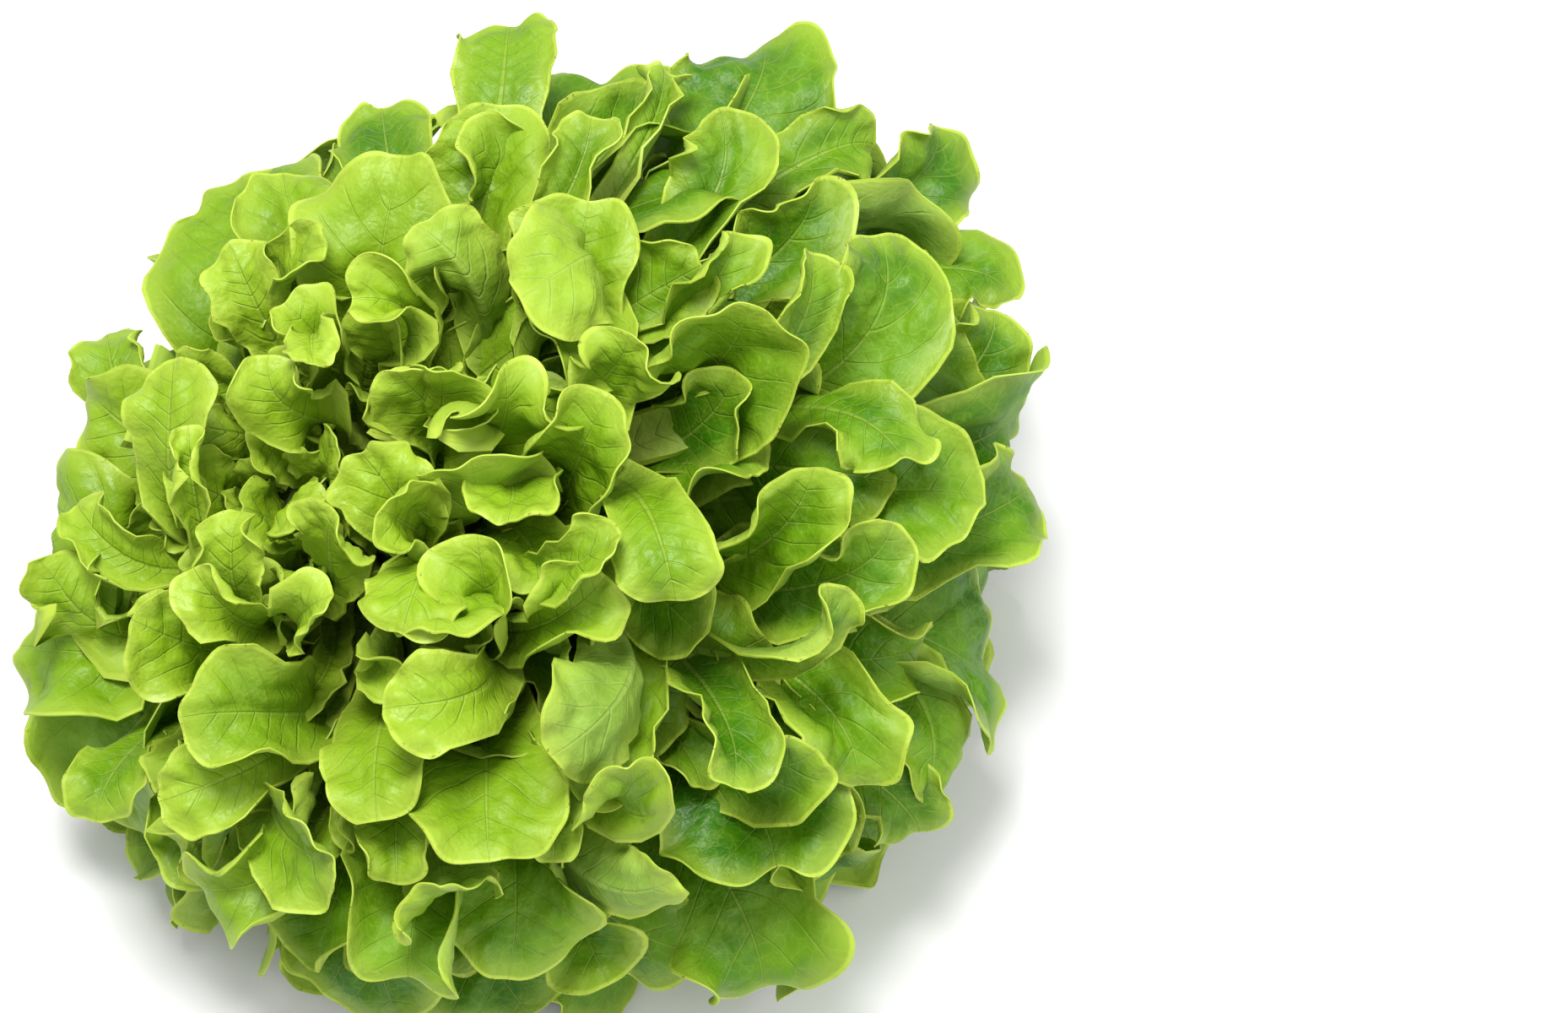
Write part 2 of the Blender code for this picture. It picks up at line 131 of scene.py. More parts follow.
# The small leaves that fill the gaps between the others
FILLING_LEAVES = 200
FILLING_FIRST = 200
FILLING_POLARS = (math.radians(2), math.radians(125))
FILLING_POWER = 0.85
FILLING_TURN = 0.9
FILLING_LEVELS = (0.84, 0.965)
FILLING_HALF_WIDTHS = (0.0065, 0.0175)
FILLING_WIDTH_SPREAD = (0.8, 1.2)
FILLING_GROWN = 0.6
FILLING_LIFTS = (86, 50)
FILLING_OPEN = 0.7
FILLING_LIFT_SPREAD = 18
FILLING_SWING_SPREAD = 32
FILLING_ROLL_SPREAD = 45
FILLING_SHARES = (0.05, 0.95)
FILLING_CUPS = (-0.5, 0.5, 0.9, 1.3)
FILLING_CUP_SPREAD = (-0.2, 0.2)
FILLING_WAIST_SPREAD = (-0.1, 0.3)
FILLING_WAVE_SPREAD = (0.12, 0.32)
FILLING_WAVE_LENGTHS = (0.9, 1.8)

# One leaf. Its blade is measured back from its tip in its own half widths
HALF_WIDTH_HEART = 0.0105
HALF_WIDTH_OUTER = 0.0262
SEEN_WIDENING = 1.06
BLADE_NARROWS = (1.2, 4.6)
STALK_SHARE = 0.62
WAIST_AT = 2.1
WAIST_REACH = 0.45
HANDLE = 2.4
SEEN_HANDLE = 1.6
ROOT_DEPTH = 0.004
STALK_RISES = (0.9, 0.25)
STALK_SWING = 0.5
MIDRIB_STEPS = 48
BODY_ROW_GROWTH = 1.45
BLADE_CLOSES = (2.2, 6.5)
FACE_TURNS = (0.75, 0.25)
STALK_FACE_RISE = 0.5
STALK_CURVE = 1.3

# How many columns, rows round the tip and rows down the body a large, a small and a trial leaf's grid has
LARGE_GRID = (32, 11, 17)
SMALL_GRID = (18, 8, 12)
TRIAL_GRID = (12, 5, 9)

# The search for clear places: the blade that is tried, how near others count and the most cuts a leaf may
# keep. Each move sinks a tip by some mm and swings its leaf by some degrees
BLADE_ONLY = 2.6
NEAR_LEAF = 0.075
MOST_HITS = 26
SMALL_MOVES = ((0, 0), (3, 0), (-2, 0), (5, 8), (5, -8), (7, 0))
WIDE_MOVES = ((0, 0), (4, 0), (0, 16), (0, -16), (8, 0), (5, 20), (5, -20), (12, 10), (12, -10))

# How a blade bends at its tip, twists, rolls its margins and creases along its midrib. Angles are in radians
HOOD_REACH = 1.9
BENT_BACK = 0.65
HOOD_SPREAD = (-1.3, 0.9)
OUTER_HOOD = 0.45
TWIST_SPREAD = (-0.5, 0.5)
TWIST_FROM = 2
MARGIN_ROLLS = (-1.6, 2.2)
MARGIN_REACH = (0.3, 1.0)
CREASES = (-0.25, 0.55)
CREASE_STARTS = (0.3, 1.2)
CREASE_WIDTH = 0.09

# The waves of a blade. Each has its length and its height in half widths
OUTLINE_WAVES = ((2.9, 0.06), (1.5, 0.045), (0.7, 0.015))
NOTCH_SPREAD = (-0.25, 0.22)
NOTCH_WIDTH = 0.3
FRILL = 11.5
FRILL_STRETCH = 1.6
SHORT_FRILL = (1.3, 0.5)
RUFFLE_STRETCH = 1.5
RUFFLE_POWER = 2.4
SHORT_RUFFLES = ((1.15, 0.05), (0.63, 0.02))
LARGE_DENTS = (2.1, 0.075, 1.7)
LARGE_DENT_SLANTS = (1.3, 0.8)
SMALL_DENTS = (0.9, 0.045, 0.8)
SMALL_DENT_SLANT = 0.4
FLAT_RIB = (0.0, 0.3)

# The side veins, the puffs between them, the rib below and the blade's thickness
VEIN_GAP = 0.42
VEIN_SLOPE = 0.9
VEIN_BEND = 1.15
VEIN_LEAN = (2.3, 0.3)
VEIN_SHIFT = (3.1, 0.4)
PUFF_HEIGHTS = (0.01, 0.06)
PUFF_STARTS = (0.04, 0.3)
PUFF_ENDS = (0.75, 1.0)
RIB_HALF_WIDTH = 0.0016
RIB_HEIGHT = 0.0012
RIB_STARTS = (0.3, 2.5)
BLADE_THICKNESS = 0.0009
MARGIN_THICKNESS = 0.00045
THIN_MARGIN = (0.55, 1.0)
STALK_THICKENING = 0.0014

# What the skin is painted by: the youth of a leaf, its blotches and the scale of its map
YOUTH_ENDS = (0.05, 0.5)
BLOTCHES = ((1.9, 0.14), (0.8, 0.06))
CROSS_BLOTCHES = ((2.3, 0.14), (0.9, 0.06))
BLOTCH_SLANTS = (0.3, 0.4)
MAP_SCALE = 100
MAP_STEP = 17.0

# The angle between two faces from which their edge is shaded as a sharp one
SHARP = math.radians(55)

# The leaves' colours in deep and light patches, near the heart, on veins and rims, and below; the rims are
# their own paler green with a painted highlight of lit edges. Then their specks, the light that they let
# through and their shine
DEEP = (0.034, 0.165, 0.001, 1.0)
LIGHT = (0.162, 0.348, 0.003, 1.0)
YOUNG = (0.350, 0.545, 0.016, 1.0)
PALE = (0.470, 0.620, 0.100, 1.0)
# The margins' own paler yellow-green, brightened by a painted highlight of lit leaf edges
MARGIN_GREEN_AND_HIGHLIGHT = (0.520, 0.670, 0.070, 1.0)
UNDER_DEEP = (0.190, 0.350, 0.040, 1.0)
UNDER_LIGHT = (0.300, 0.470, 0.070, 1.0)
UNDER_PALE = (0.470, 0.610, 0.140, 1.0)
SPECK_BROWN = (0.16, 0.09, 0.02, 1.0)
GLOW = (0.295, 0.540, 0.006, 1.0)
GLOW_SHARE = 0.28
LEAF_SHINE = 0.4

# Where the skin's marks start and end, in mm from the margin
# The thin rim line: the margin's own paler colour with a painted highlight of the lit edge
THIN_LINE_GREEN_AND_HIGHLIGHT = (1.25, 0.5)
PALE_MARGIN = (9.0, 0.5)
VEINS_START = (2.0, 8.0)
SPECKS_START = (1.6, 0.2)

# The same in mm from a side vein, in widths of the midrib, in half widths back from the tip, in cells of
# the net and in the grain's values
SIDE_VEIN = (0.5, 0.1)
MIDRIB = (1.3, 0.5)
PALE_STALK = (2.6, 7.0)
NET_LINE = (0.07, 0.0)
SPECK = (0.66, 0.74)

# The midrib's width in mm: how much it grows for each half width back, and what it is at the tip
MIDRIB_WIDENING = (0.3, 0.12)

# How much each mark shows, and how far it stands out of the skin or lies in it
NET_SHOW = 0.22
VEINS_SHOW = 0.3
MARGIN_SHOW = 0.45
YOUTH_SHOW = 0.85
SPECKS_SHOW = 0.7
BLOTCH_TONE = (1.5, -0.75)
TINT_TONE = 0.6
MOTTLE_TONE = 0.9
TONE_START = 0.15
BLOTCH_GLOSS = 0.3
GRAIN_RELIEF = 0.25
VEIN_RELIEF = 0.4
MIDRIB_RELIEF = 0.5
MOTTLE_RELIEF = 0.7
LUMP_RELIEF = (2.4, 0.6)
RELIEF_DEPTH = 0.0014

# The scale and detail of the skin's noises, the scale of its net and how far its cells are bent
GRAIN = (9.0, 1.0)
MOTTLE = (2.4, 2.0)
BENDING = (1.6, 0.0)
LUMPS = (1.3, 1.0)
NET_SCALE = 2.6
NET_BEND = 0.45

# How the leaves are shared out among the pieces, by their places from the heart outwards
HEART_FILLINGS = 30
UPPER_FILLINGS_END = 90
UPPER_LEAVES_END = 66

# Where the photograph is taken from, its frame in pixels, and the ground
VIEW_ELEVATION = math.radians(62)
VIEW_DISTANCE = 1.031
VIEW_TARGET = np.array((0.0696, 0.0, 0.080))
PHOTO_MIDDLE = (929, 600)
FOCAL_PIXELS = 4387
LENS_MM = 85
SENSOR_MM = 36
FLOOR_REACH = 4
FLOOR_WHITE = (0.9, 0.9, 0.9, 1.0)
FLOOR_ROUGHNESS = 0.6

# How far in mm a few leaves are drawn in that would stick out past the others, by their numbers in the order
DRAWN_IN = {39: 20, 44: 9, 50: 17, 57: 9, 58: 15, 66: 15, 71: 15, 79: 15, 83: 9, 90: 8, 336: 8}

# The leaves that show best in the photograph. Each has the pixel of its tip and how far the tip stands
# out of the dome towards the viewer in mm, the same for the throat that its blade rises from, its half
# width in mm, its cup and, where it has them, its roll in degrees and the depth of its waist
SEEN_LEAVES = {
    "cupped": ((895, 350), 16, (850, 520), -14, 21.5, 0.95),
    "spoon": ((1045, 272), 10, (1095, 480), -6, 19.5, 0.55, 10),
    "top": ((602, 18), 14, (605, 170), -12, 14, 0.2),
    "oval": ((205, 425), 8, (208, 600), -8, 12, 0.15, 0, 0.1),
    "left back": ((125, 392), 2, (150, 560), -14, 13, 0.1),
    "wide": ((475, 200), 12, (440, 330), -10, 21, 0.35, 0, 0.15),
    "wide left": ((335, 208), 8, (365, 330), -12, 15.5, 0.3),
    "far left": ((300, 185), -2, (290, 380), -20, 24.5, 0.1, 0, 0.1),
    "top right": ((905, 32), 10, (930, 150), -14, 23.5, -0.45),
    "folded": ((722, 470), 12, (645, 600), -10, 14, 1.25, -10),
    "curled oval": ((795, 690), 10, (765, 545), 4, 13.5, -0.5),
    "long cup": ((965, 548), 10, (930, 740), -12, 13.5, 1.1),
    "hanging cup": ((868, 935), 10, (905, 780), -8, 13, 0.8),
    "side cup": ((985, 890), 10, (870, 975), -6, 13, 0.9),
    "bowl": ((930, 1070), 6, (935, 950), -8, 24, 0.55),
    "lowest right": ((905, 1195), 0, (915, 1060), -14, 23.5, 0.15, 0, 0.15),
    "round": ((578, 1028), 12, (572, 890), -6, 18.5, 0.35),
    "pointing left": ((455, 838), 10, (625, 835), -4, 10, 0.3),
    "facing": ((445, 968), 8, (440, 850), -8, 14, 0.25),
    "two lobed": ((1225, 575), 6, (1075, 700), -10, 17.5, 0.3, 0, 0.2),
    "two lobed low": ((1095, 945), 6, (1165, 720), 0, 12, 0.3),
    "lowest left": ((218, 1050), 2, (400, 1070), -8, 14.5, 0.15, 0, 0.1),
    "twisted": ((470, 1180), 6, (500, 1020), -10, 14.5, 0.9),
    "lowest": ((605, 1172), -4, (640, 1060), -14, 21.5, 0.2, 0, 0.1),
    "wavy left": ((190, 950), 6, (350, 900), -6, 12, 0.3, 0, 0.1),
    "blistered": ((215, 850), 12, (335, 825), -4, 15.5, 0.25),
    "round left": ((150, 730), 10, (240, 780), -8, 14.5, 0.35),
    "rim left": ((8, 770), 0, (110, 800), -14, 19.5, 0.2, 0, 0.1),
    "standing left": ((55, 662), 4, (105, 800), -12, 10.5, 0.5, 0, 0.2),
    "low left": ((112, 975), 4, (130, 860), -10, 11.5, 0.4),
    "dark cup": ((400, 1018), 6, (270, 965), -8, 11, 0.8),
    "fold right": ((650, 885), 8, (770, 770), -8, 13.5, 1.2, 20),
    "pale fold": ((625, 360), 12, (775, 275), -4, 14.5, 1.1, -15),
    "pale left": ((500, 262), 10, (610, 330), -6, 12, 0.5),
    "upper left": ((540, 160), 10, (660, 185), -8, 12.5, 0.4),
    "right low": ((1015, 930), 0, (1000, 780), -14, 14, 0.6),
    "right upper": ((1035, 175), 6, (940, 170), -8, 12, 0.5),
    "below spoon": ((1075, 560), 4, (1020, 420), -10, 13, 0.2),
    "mid low": ((515, 760), 10, (520, 630), -4, 17.5, -0.25),
    "back left": ((452, 126), 2, (470, 250), -14, 14.5, 0.25, 0, 0.1),
    "heart right": ((465, 430), 10, (520, 520), -6, 12, 0.3),
}

# Nearer places for some of these leaves' fine shapes, in the same measures
FINER_PLACES = {
    "curled oval": ((802, 716), 12, (752, 520), 4, 11.8, -0.5),
    "pointing left": ((452, 838), 12, (665, 832), -2, 11.5, 0.3),
    "pale fold": ((622, 352), 17, (775, 245), 0, 16, 0.7, 160),
    "pale left": ((490, 270), 12, (610, 345), -2, 12, 0.6, 165),
    "fold right": ((655, 900), 14, (820, 762), -2, 16, 0.5, 170),
    "dark cup": ((410, 1030), 8, (240, 962), -4, 12.5, 0.9),
    "twisted": ((478, 1180), 8, (500, 1010), -8, 18, 1.1),
}

# More leaves of the photograph, given in the same way, that only show in the fine head
FINE_SEEN_LEAVES = {
    "shaded": ((598, 622), 5, (640, 515), -10, 13, 0.2),
    "shaded low": ((640, 700), 3, (660, 600), -10, 12, 0.4),
    "under fold": ((640, 425), 4, (760, 300), -8, 18, 0.3),
    "small fold": ((868, 270), 8, (880, 370), -10, 8, 1.4),
    "beside cupped": ((958, 300), 8, (975, 500), -8, 9, 1.2, 40),
    "s leaf": ((745, 398), 10, (740, 480), -8, 9.5, 1.0),
    "pale tongue": ((735, 632), 12, (600, 740), -2, 9, 0.9, -30),
    "under tongue": ((725, 675), 6, (610, 800), -6, 11, 0.8),
    "s fold": ((560, 632), 11, (580, 790), -4, 12, 1.3),
    "pale loop": ((440, 600), 11, (560, 660), -6, 11, 1.0),
    "broad": ((475, 755), 8, (510, 640), -2, 12.5, -0.4),
    "pale broad": ((420, 520), 11, (480, 640), -4, 12, 0.4),
    "bright wavy": ((530, 410), 13, (520, 530), -4, 13, 0.5),
    "crumpled": ((600, 445), 12, (610, 545), -6, 13, 0.6),
    "long margin": ((560, 570), 12, (560, 490), -8, 20, 0.3),
    "heart crumple": ((315, 420), 8, (315, 540), -6, 10, 0.8),
    "narrow": ((222, 505), 13, (226, 660), 0, 5, 1.5),
    "standing pale": ((70, 590), 6, (125, 715), -8, 8, 1.0),
    "beside round": ((225, 668), 9, (290, 775), -2, 8, 1.1),
    "pointed dark": ((268, 598), 8, (275, 750), -8, 9, 0.7),
    "blistered cup": ((392, 705), 11, (310, 750), 0, 9, 0.6),
    "pointed top": ((400, 600), 9, (350, 700), -6, 11, 0.5),
    "small cup low": ((745, 898), 10, (760, 1010), -4, 9, 1.4),
    "dark inside": ((665, 925), 2, (850, 765), -14, 19, 0.8),
    "under facing": ((470, 1050), 2, (470, 950), -8, 10, 0.5),
    "small low": ((660, 1030), 4, (655, 950), -6, 8, 0.6),
    "low pale fold": ((800, 1040), 7, (690, 1110), -4, 11, 0.6, 170),
    "low pale band": ((505, 1040), 8, (560, 1110), -6, 11, 1.0),
    "upright right": ((1180, 365), 6, (1190, 540), -8, 13, 0.7, 10),
    "right edge": ((1200, 350), 0, (1130, 240), -6, 14, -0.3),
    "right back": ((1110, 146), 2, (1140, 260), -10, 17, 0.3),
    "low margin": ((1112, 1005), 0, (1090, 900), -8, 13, 0.3),
    "right narrow": ((985, 692), 8, (975, 860), -4, 8, 1.3, 30),
    "right inner": ((1060, 620), 6, (1010, 760), -8, 14, 0.8),
    "back pale": ((570, 122), 12, (610, 200), -8, 16, 0.4),
    "back bowl": ((700, 136), 10, (705, 240), -8, 10, 0.8),
    "dimpled": ((700, 205), 10, (690, 330), -6, 19, 0.3),
    "dark lobed": ((850, 290), 6, (770, 330), -10, 12, 0.9),
    "upright back": ((785, 85), 6, (800, 190), -8, 7, 1.0),
    "diagonal back": ((812, 68), 6, (890, 160), -8, 10, 0.7),
    "long back": ((850, 132), 8, (920, 260), -8, 13, 0.6),
    "back cup": ((960, 205), 8, (1010, 300), -8, 13, 0.9),
    "open fold": ((405, 355), 10, (540, 345), -6, 9, 1.3),
    "small dark cup": ((330, 350), 8, (385, 410), -8, 10, 1.0),
    "pale left tongue": ((370, 432), 12, (372, 360), -4, 7, 0.7),
    "pale underside": ((275, 290), 10, (300, 370), -4, 9, 0.6),
    "curled rim": ((385, 290), 10, (310, 320), -4, 9, 1.2),
}

# How far a seen leaf's tip bends, in radians, how its left and right margins roll and how high it waves
SEEN_LOOKS = {
    "cupped": (0.95, 0.7, 0.7, 0.07),
    "spoon": (-0.2, 0.2, 0.2, 0.05),
    "top": (-0.3, 0.2, 0.2, 0.05),
    "oval": (-0.3, 0.0, 0.0, 0.04),
    "wide": (-0.4, 0.3, 0.2, 0.14),
    "folded": (0.1, 2.0, 0.4, 0.06),
    "curled oval": (-0.8, -0.3, -0.3, 0.06),
    "long cup": (0.3, 0.5, 1.8, 0.05),
    "hanging cup": (0.3, 2.4, 0.3, 0.04),
    "side cup": (0.2, 0.3, 0.3, 0.05),
    "bowl": (0.3, 0.4, 0.4, 0.07),
    "round": (-0.3, 0.3, 0.3, 0.07),
    "facing": (-0.4, 0.2, 0.2, 0.05),
    "round left": (0.2, 0.2, 0.5, 0.05),
    "pointing left": (-0.5, -0.4, 0.2, 0.06),
    "two lobed": (0.2, 0.3, 1.2, 0.09),
    "pale fold": (0.7, 0.6, 0.9, 0.07),
    "fold right": (0.4, 0.5, 0.9, 0.05),
    "pale tongue": (0.1, 3.4, 0.3, 0.05),
    "low pale fold": (0.3, 0.5, 0.5, 0.05),
    "wavy left": (-0.2, 4.2, 0.2, 0.08),
    "pale left": (0.3, 0.4, 0.4, 0.08),
    "lowest left": (-0.5, 0.2, 0.2, 0.16),
    "lowest": (-0.3, 0.2, 0.4, 0.15),
    "lowest right": (-0.2, 0.2, 0.2, 0.12),
    "rim left": (-0.3, 0.1, 0.1, 0.08),
    "standing left": (0.2, 0.8, 0.8, 0.3),
    "blistered": (-0.3, 4.4, 0.1, 0.08),
    "dark cup": (0.2, 0.8, 0.3, 0.06),
    "twisted": (0.0, 3.4, 0.2, 0.06),
    "bright wavy": (0.3, 0.4, 0.9, 0.26),
    "crumpled": (0.3, 0.6, 0.4, 0.3),
    "long margin": (1.5, 0.8, 0.8, 0.1),
    "pale loop": (0.9, 0.9, 0.4, 0.1),
    "s fold": (0.2, -0.8, 1.3, 0.16),
    "s leaf": (0.3, 1.2, -0.6, 0.2),
    "broad": (-0.4, -0.3, -0.3, 0.05),
    "dark inside": (0.3, 1.2, 2.2, 0.07),
}

# The same for the seen leaves that have no row of their own, and how much all of them wave
SEEN_HOODS = (-0.5, 0.5)
SEEN_ROLLS = (-0.9, 1.7)
SEEN_TWISTS = (-0.2, 0.2)
SEEN_WAVE = 2.2
SEEN_WAVE_LIMIT = 0.12

# The number in the order of the first leaf that only shows in the fine head, and how high such leaves wave
FINE_SEEN_FIRST = 500
FINE_SEEN_WAVES = (0.06, 0.16)


def smooth(low, high, value):
    """0 below low, 1 above high, and an even curve between them."""
    share = np.clip((value - low) / (high - low), 0.0, 1.0)
    return share * share * (3 - 2 * share)


def mix(a, b, share):
    return a + (b - a) * share


def unit(way):
    """A direction, or each row of a table of them, made one long."""
    return way / np.linalg.norm(way, axis=-1, keepdims=True)


def tilted(tilt, towards):
    """A direction tilted from upright towards a bearing, and the level direction of that bearing."""
    bearing = np.array((math.cos(towards), math.sin(towards), 0.0))
    return bearing * math.sin(tilt) + np.array((0.0, 0.0, math.cos(tilt))), bearing


def dome_shape():
    """The matrix that makes the dome from a ball, and its inverse."""
    c, s = math.cos(DOME_TURN), math.sin(DOME_TURN)
    turn = np.array(((c, -s, 0.0), (s, c, 0.0), (0.0, 0.0, 1.0)))
    shape = turn @ np.diag(DOME_RADII) @ turn.T
    return shape, np.linalg.inv(shape)


SHAPE, UNSHAPE = dome_shape()
TO_VIEWER = np.array((0.0, -math.cos(VIEW_ELEVATION), math.sin(VIEW_ELEVATION)))
VIEW_RIGHT = np.array((1.0, 0.0, 0.0))
VIEW_UP = np.cross(TO_VIEWER, VIEW_RIGHT)
AXIS = tilted(LEAN, LEAN_TOWARDS)[0]
POLE, POLE_BEARING = tilted(HEART_TILT, HEART_TOWARDS)
POLE_SIDE = unit(np.cross(POLE, POLE_BEARING))
POLE_AHEAD = np.cross(POLE_SIDE, POLE)


def dome_point(polar, azimuth, level):
    """A point of the dome by its polar angle from the heart and its azimuth. A level of 1 is on the dome."""
    sideways = POLE_AHEAD * math.cos(azimuth) + POLE_SIDE * math.sin(azimuth)
    return DOME_CENTRE + SHAPE @ (POLE * math.cos(polar) + sideways * math.sin(polar)) * level


def skirted_point(polar, azimuth, level):
    """A point of the dome whose lower half falls to the surface almost upright, like a skirt.

    Where the dome would be too far under the surface there is none.
    """
    way = UNSHAPE @ (dome_point(polar, azimuth, 1.0) - DOME_CENTRE)
    if way[2] >= 0:
        return DOME_CENTRE + SHAPE @ way * level
    if way[2] < LOWEST_WAY:
        return None
    rim = SHAPE @ np.array((*unit(way[:2]), 0.0)) * level * (1 - SKIRT_DRAW_IN * way[2] ** 2)
    return np.array((rim[0], rim[1], max(LOWEST_TIP, DOME_CENTRE[2] * (1 - way[2] / GROUND_WAY))))


def dome_normal(point):
    """The direction that the dome faces near a point. Its skirt faces level."""
    way = UNSHAPE @ UNSHAPE @ (point - DOME_CENTRE)
    way[2] = max(way[2], 0.0)
    return unit(way)


def seen_on_dome(pixel, out_mm):
    """The dome's point at a pixel of the photograph, moved out towards the viewer.

    A pixel past the dome's edge gives the nearest place to it on that line of sight.
    """
    right, down = (np.array(pixel) - PHOTO_MIDDLE) / FOCAL_PIXELS
    way = unit(VIEW_RIGHT * right - VIEW_UP * down - TO_VIEWER)
    eye = VIEW_TARGET + TO_VIEWER * VIEW_DISTANCE
    start, step = UNSHAPE @ (eye - DOME_CENTRE), UNSHAPE @ way
    a, b, c = step.dot(step), 2 * start.dot(step), start.dot(start) - 1
    reach = (-b - math.sqrt(max(0.0, b * b - 4 * a * c))) / (2 * a)
    point = eye + way * (reach - out_mm / MM)
    point[2] = max(point[2], LOWEST_TIP)
    return point


def core_radius(height):
    """The radius of the stem's stretches at a height along it."""
    heights = (STEM_LENGTH, CROWN_TOP, HEART_TOP)
    return np.interp(height, heights, (STEM_RADIUS, CROWN_RADIUS, HEART_TOP_RADIUS))


def turned(way, about, angle):
    """A direction turned about another by an angle."""
    along = about * way.dot(about)
    return along + (way - along) * math.cos(angle) + np.cross(about, way) * math.sin(angle)


def set_on_dome(tip, lift, swing, roll):
    """The ways that a leaf points and faces at its place, from its lift, swing and roll in degrees."""
    normal = dome_normal(tip)
    away = tip - dome_point(0.0, 0.0, 1 - HEART_DIP)
    away = unit(away - normal * away.dot(normal))
    lift = math.radians(lift)
    along = away * math.cos(lift) + normal * math.sin(lift)
    face = normal * math.cos(lift) - away * math.sin(lift)
    along = turned(along, face, math.radians(swing))
    return {"tip": tip, "along": along, "face": turned(face, along, math.radians(roll))}


def heart_dip(polar):
    """The level of the dome at a polar angle, which dips over the heart."""
    return 1 - HEART_DIP * math.exp(-((polar / HEART_DIP_ANGLE) ** 2))


def ruled_leaf(order, draw):
    """The leaf that the golden angle gives for its place in the order, with its own measures.

    The draws are the part's own, in the same order, so that the two plans agree.
    """
    share = (order + 0.5) / LEAF_COUNT
    polar = mix(HEART_POLAR, OUTER_POLAR, share**POLAR_POWER) + POLAR_SPREAD * draw.uniform(-1, 1) * share
    azimuth = order * GOLDEN_ANGLE + AZIMUTH_SPREAD * draw.uniform(-1, 1)
    grown = smooth(0.0, GROWN_FROM, share)
    outer = smooth(LIFT_FALLS_FROM, 1.0, share)
    tip = skirted_point(polar, azimuth, heart_dip(polar) + draw.uniform(*LEVEL_SPREAD))
    if tip is None:
        return None
    half = mix(HALF_WIDTH_HEART, HALF_WIDTH_OUTER, grown) * draw.uniform(*HALF_WIDTH_SPREAD)
    lift = mix(HEART_LIFT, OUTER_LIFT, grown) - LIFT_FALL * outer + LIFT_SPREAD * draw.uniform(-1, 1)
    return {
        **set_on_dome(tip, lift, SWING_SPREAD * draw.uniform(-1, 1), ROLL_SPREAD * draw.uniform(-1, 1)),
        "share": share,
        "handle": half * HANDLE,
        "half": half,
        "cup": draw.uniform(*CUP_SPREAD),
        "waist": max(0.0, draw.uniform(*WAIST_SPREAD)),
        "wave": draw.uniform(*WAVE_SPREAD),
        "wave_length": draw.uniform(*WAVE_LENGTH_SPREAD),
        "wave_starts": (draw.uniform(0, math.tau), draw.uniform(0, math.tau)),
    }


def seen_leaf(tip_pixel, tip_out, throat_pixel, throat_out, half_mm, cup, roll=0, waist=0.0):
    """The measures that the photograph gives for one leaf."""
    tip = seen_on_dome(tip_pixel, tip_out)
    throat = seen_on_dome(throat_pixel, throat_out)
    along = unit(tip - throat)
    shown = dome_normal((tip + throat) / 2) + TO_VIEWER
    face = unit(shown - along * shown.dot(along))
    half = half_mm / MM * SEEN_WIDENING * abs(cup) / math.sin(abs(cup))
    return {
        "tip": tip,
        "along": along,
        "face": turned(face, along, math.radians(roll)),
        "handle": max(np.linalg.norm(tip - throat), half * SEEN_HANDLE),
        "half": half,
        "cup": cup,
        "waist": waist,
    }


def leaf_plan():
    """Every leaf from the heart outwards, without those whose tips would be under the surface."""
    draw = random.Random(SEED)
    plan = [ruled_leaf(order, draw) for order in range(LEAF_COUNT)]
    plan = [leaf for leaf in plan if leaf]
    free = list(range(HEART_LEAVES // 2, len(plan)))
    for name, seen in SEEN_LEAVES.items():
        measures = seen_leaf(*seen)
        measures["name"] = name
        nearest = min(free, key=lambda order: np.linalg.norm(plan[order]["tip"] - measures["tip"]))
        free.remove(nearest)
        plan[nearest].update(measures)
    for order, leaf in enumerate(plan):
        leaf["order"] = order
        leaf["height"] = mix(*HEART_ROOTS, order / HEART_LEAVES)
        if order >= HEART_LEAVES:
            down = (order - HEART_LEAVES) / (len(plan) - HEART_LEAVES)
            leaf["height"] = mix(*OUTER_ROOTS, down)
    return plan


def root_height(share):
    """How high on the stem a leaf of the fine head alone grows, by its place from the heart outwards."""
    return mix(HEART_ROOTS[0], OUTER_ROOTS[1], smooth(0.0, 1.0, share))


def filling_plan():
    """The small curled leaves that stand in the gaps between the others, a little inside the dome."""
    draw = random.Random(SEED + 1)
    plan = []
    for order in range(FILLING_LEAVES):
        share = (order + 0.5) / FILLING_LEAVES
        polar = mix(*FILLING_POLARS, share**FILLING_POWER) + POLAR_SPREAD * draw.uniform(-1, 1)
        azimuth = FILLING_TURN + order * GOLDEN_ANGLE + 2 * AZIMUTH_SPREAD * draw.uniform(-1, 1)
        tip = skirted_point(polar, azimuth, heart_dip(polar) * draw.uniform(*FILLING_LEVELS))
        grown = smooth(0.0, FILLING_GROWN, share)
        opened = smooth(0.0, FILLING_OPEN, share)
        half = mix(*FILLING_HALF_WIDTHS, grown) * draw.uniform(*FILLING_WIDTH_SPREAD)
        if tip is None:
            continue
        lift = mix(*FILLING_LIFTS, opened) + FILLING_LIFT_SPREAD * draw.uniform(-1, 1)
        swing = FILLING_SWING_SPREAD * draw.uniform(-1, 1)
        plan.append({
            **set_on_dome(tip, lift, swing, FILLING_ROLL_SPREAD * draw.uniform(-1, 1)),
            "order": FILLING_FIRST + order,
            "share": mix(*FILLING_SHARES, share),
            "height": root_height(share),
            "handle": half * HANDLE,
            "half": half,
            "cup": draw.choice(FILLING_CUPS) + draw.uniform(*FILLING_CUP_SPREAD),
            "waist": max(0.0, draw.uniform(*FILLING_WAIST_SPREAD)),
            "wave": draw.uniform(*FILLING_WAVE_SPREAD),
            "wave_length": draw.uniform(*FILLING_WAVE_LENGTHS),
        })
    return plan


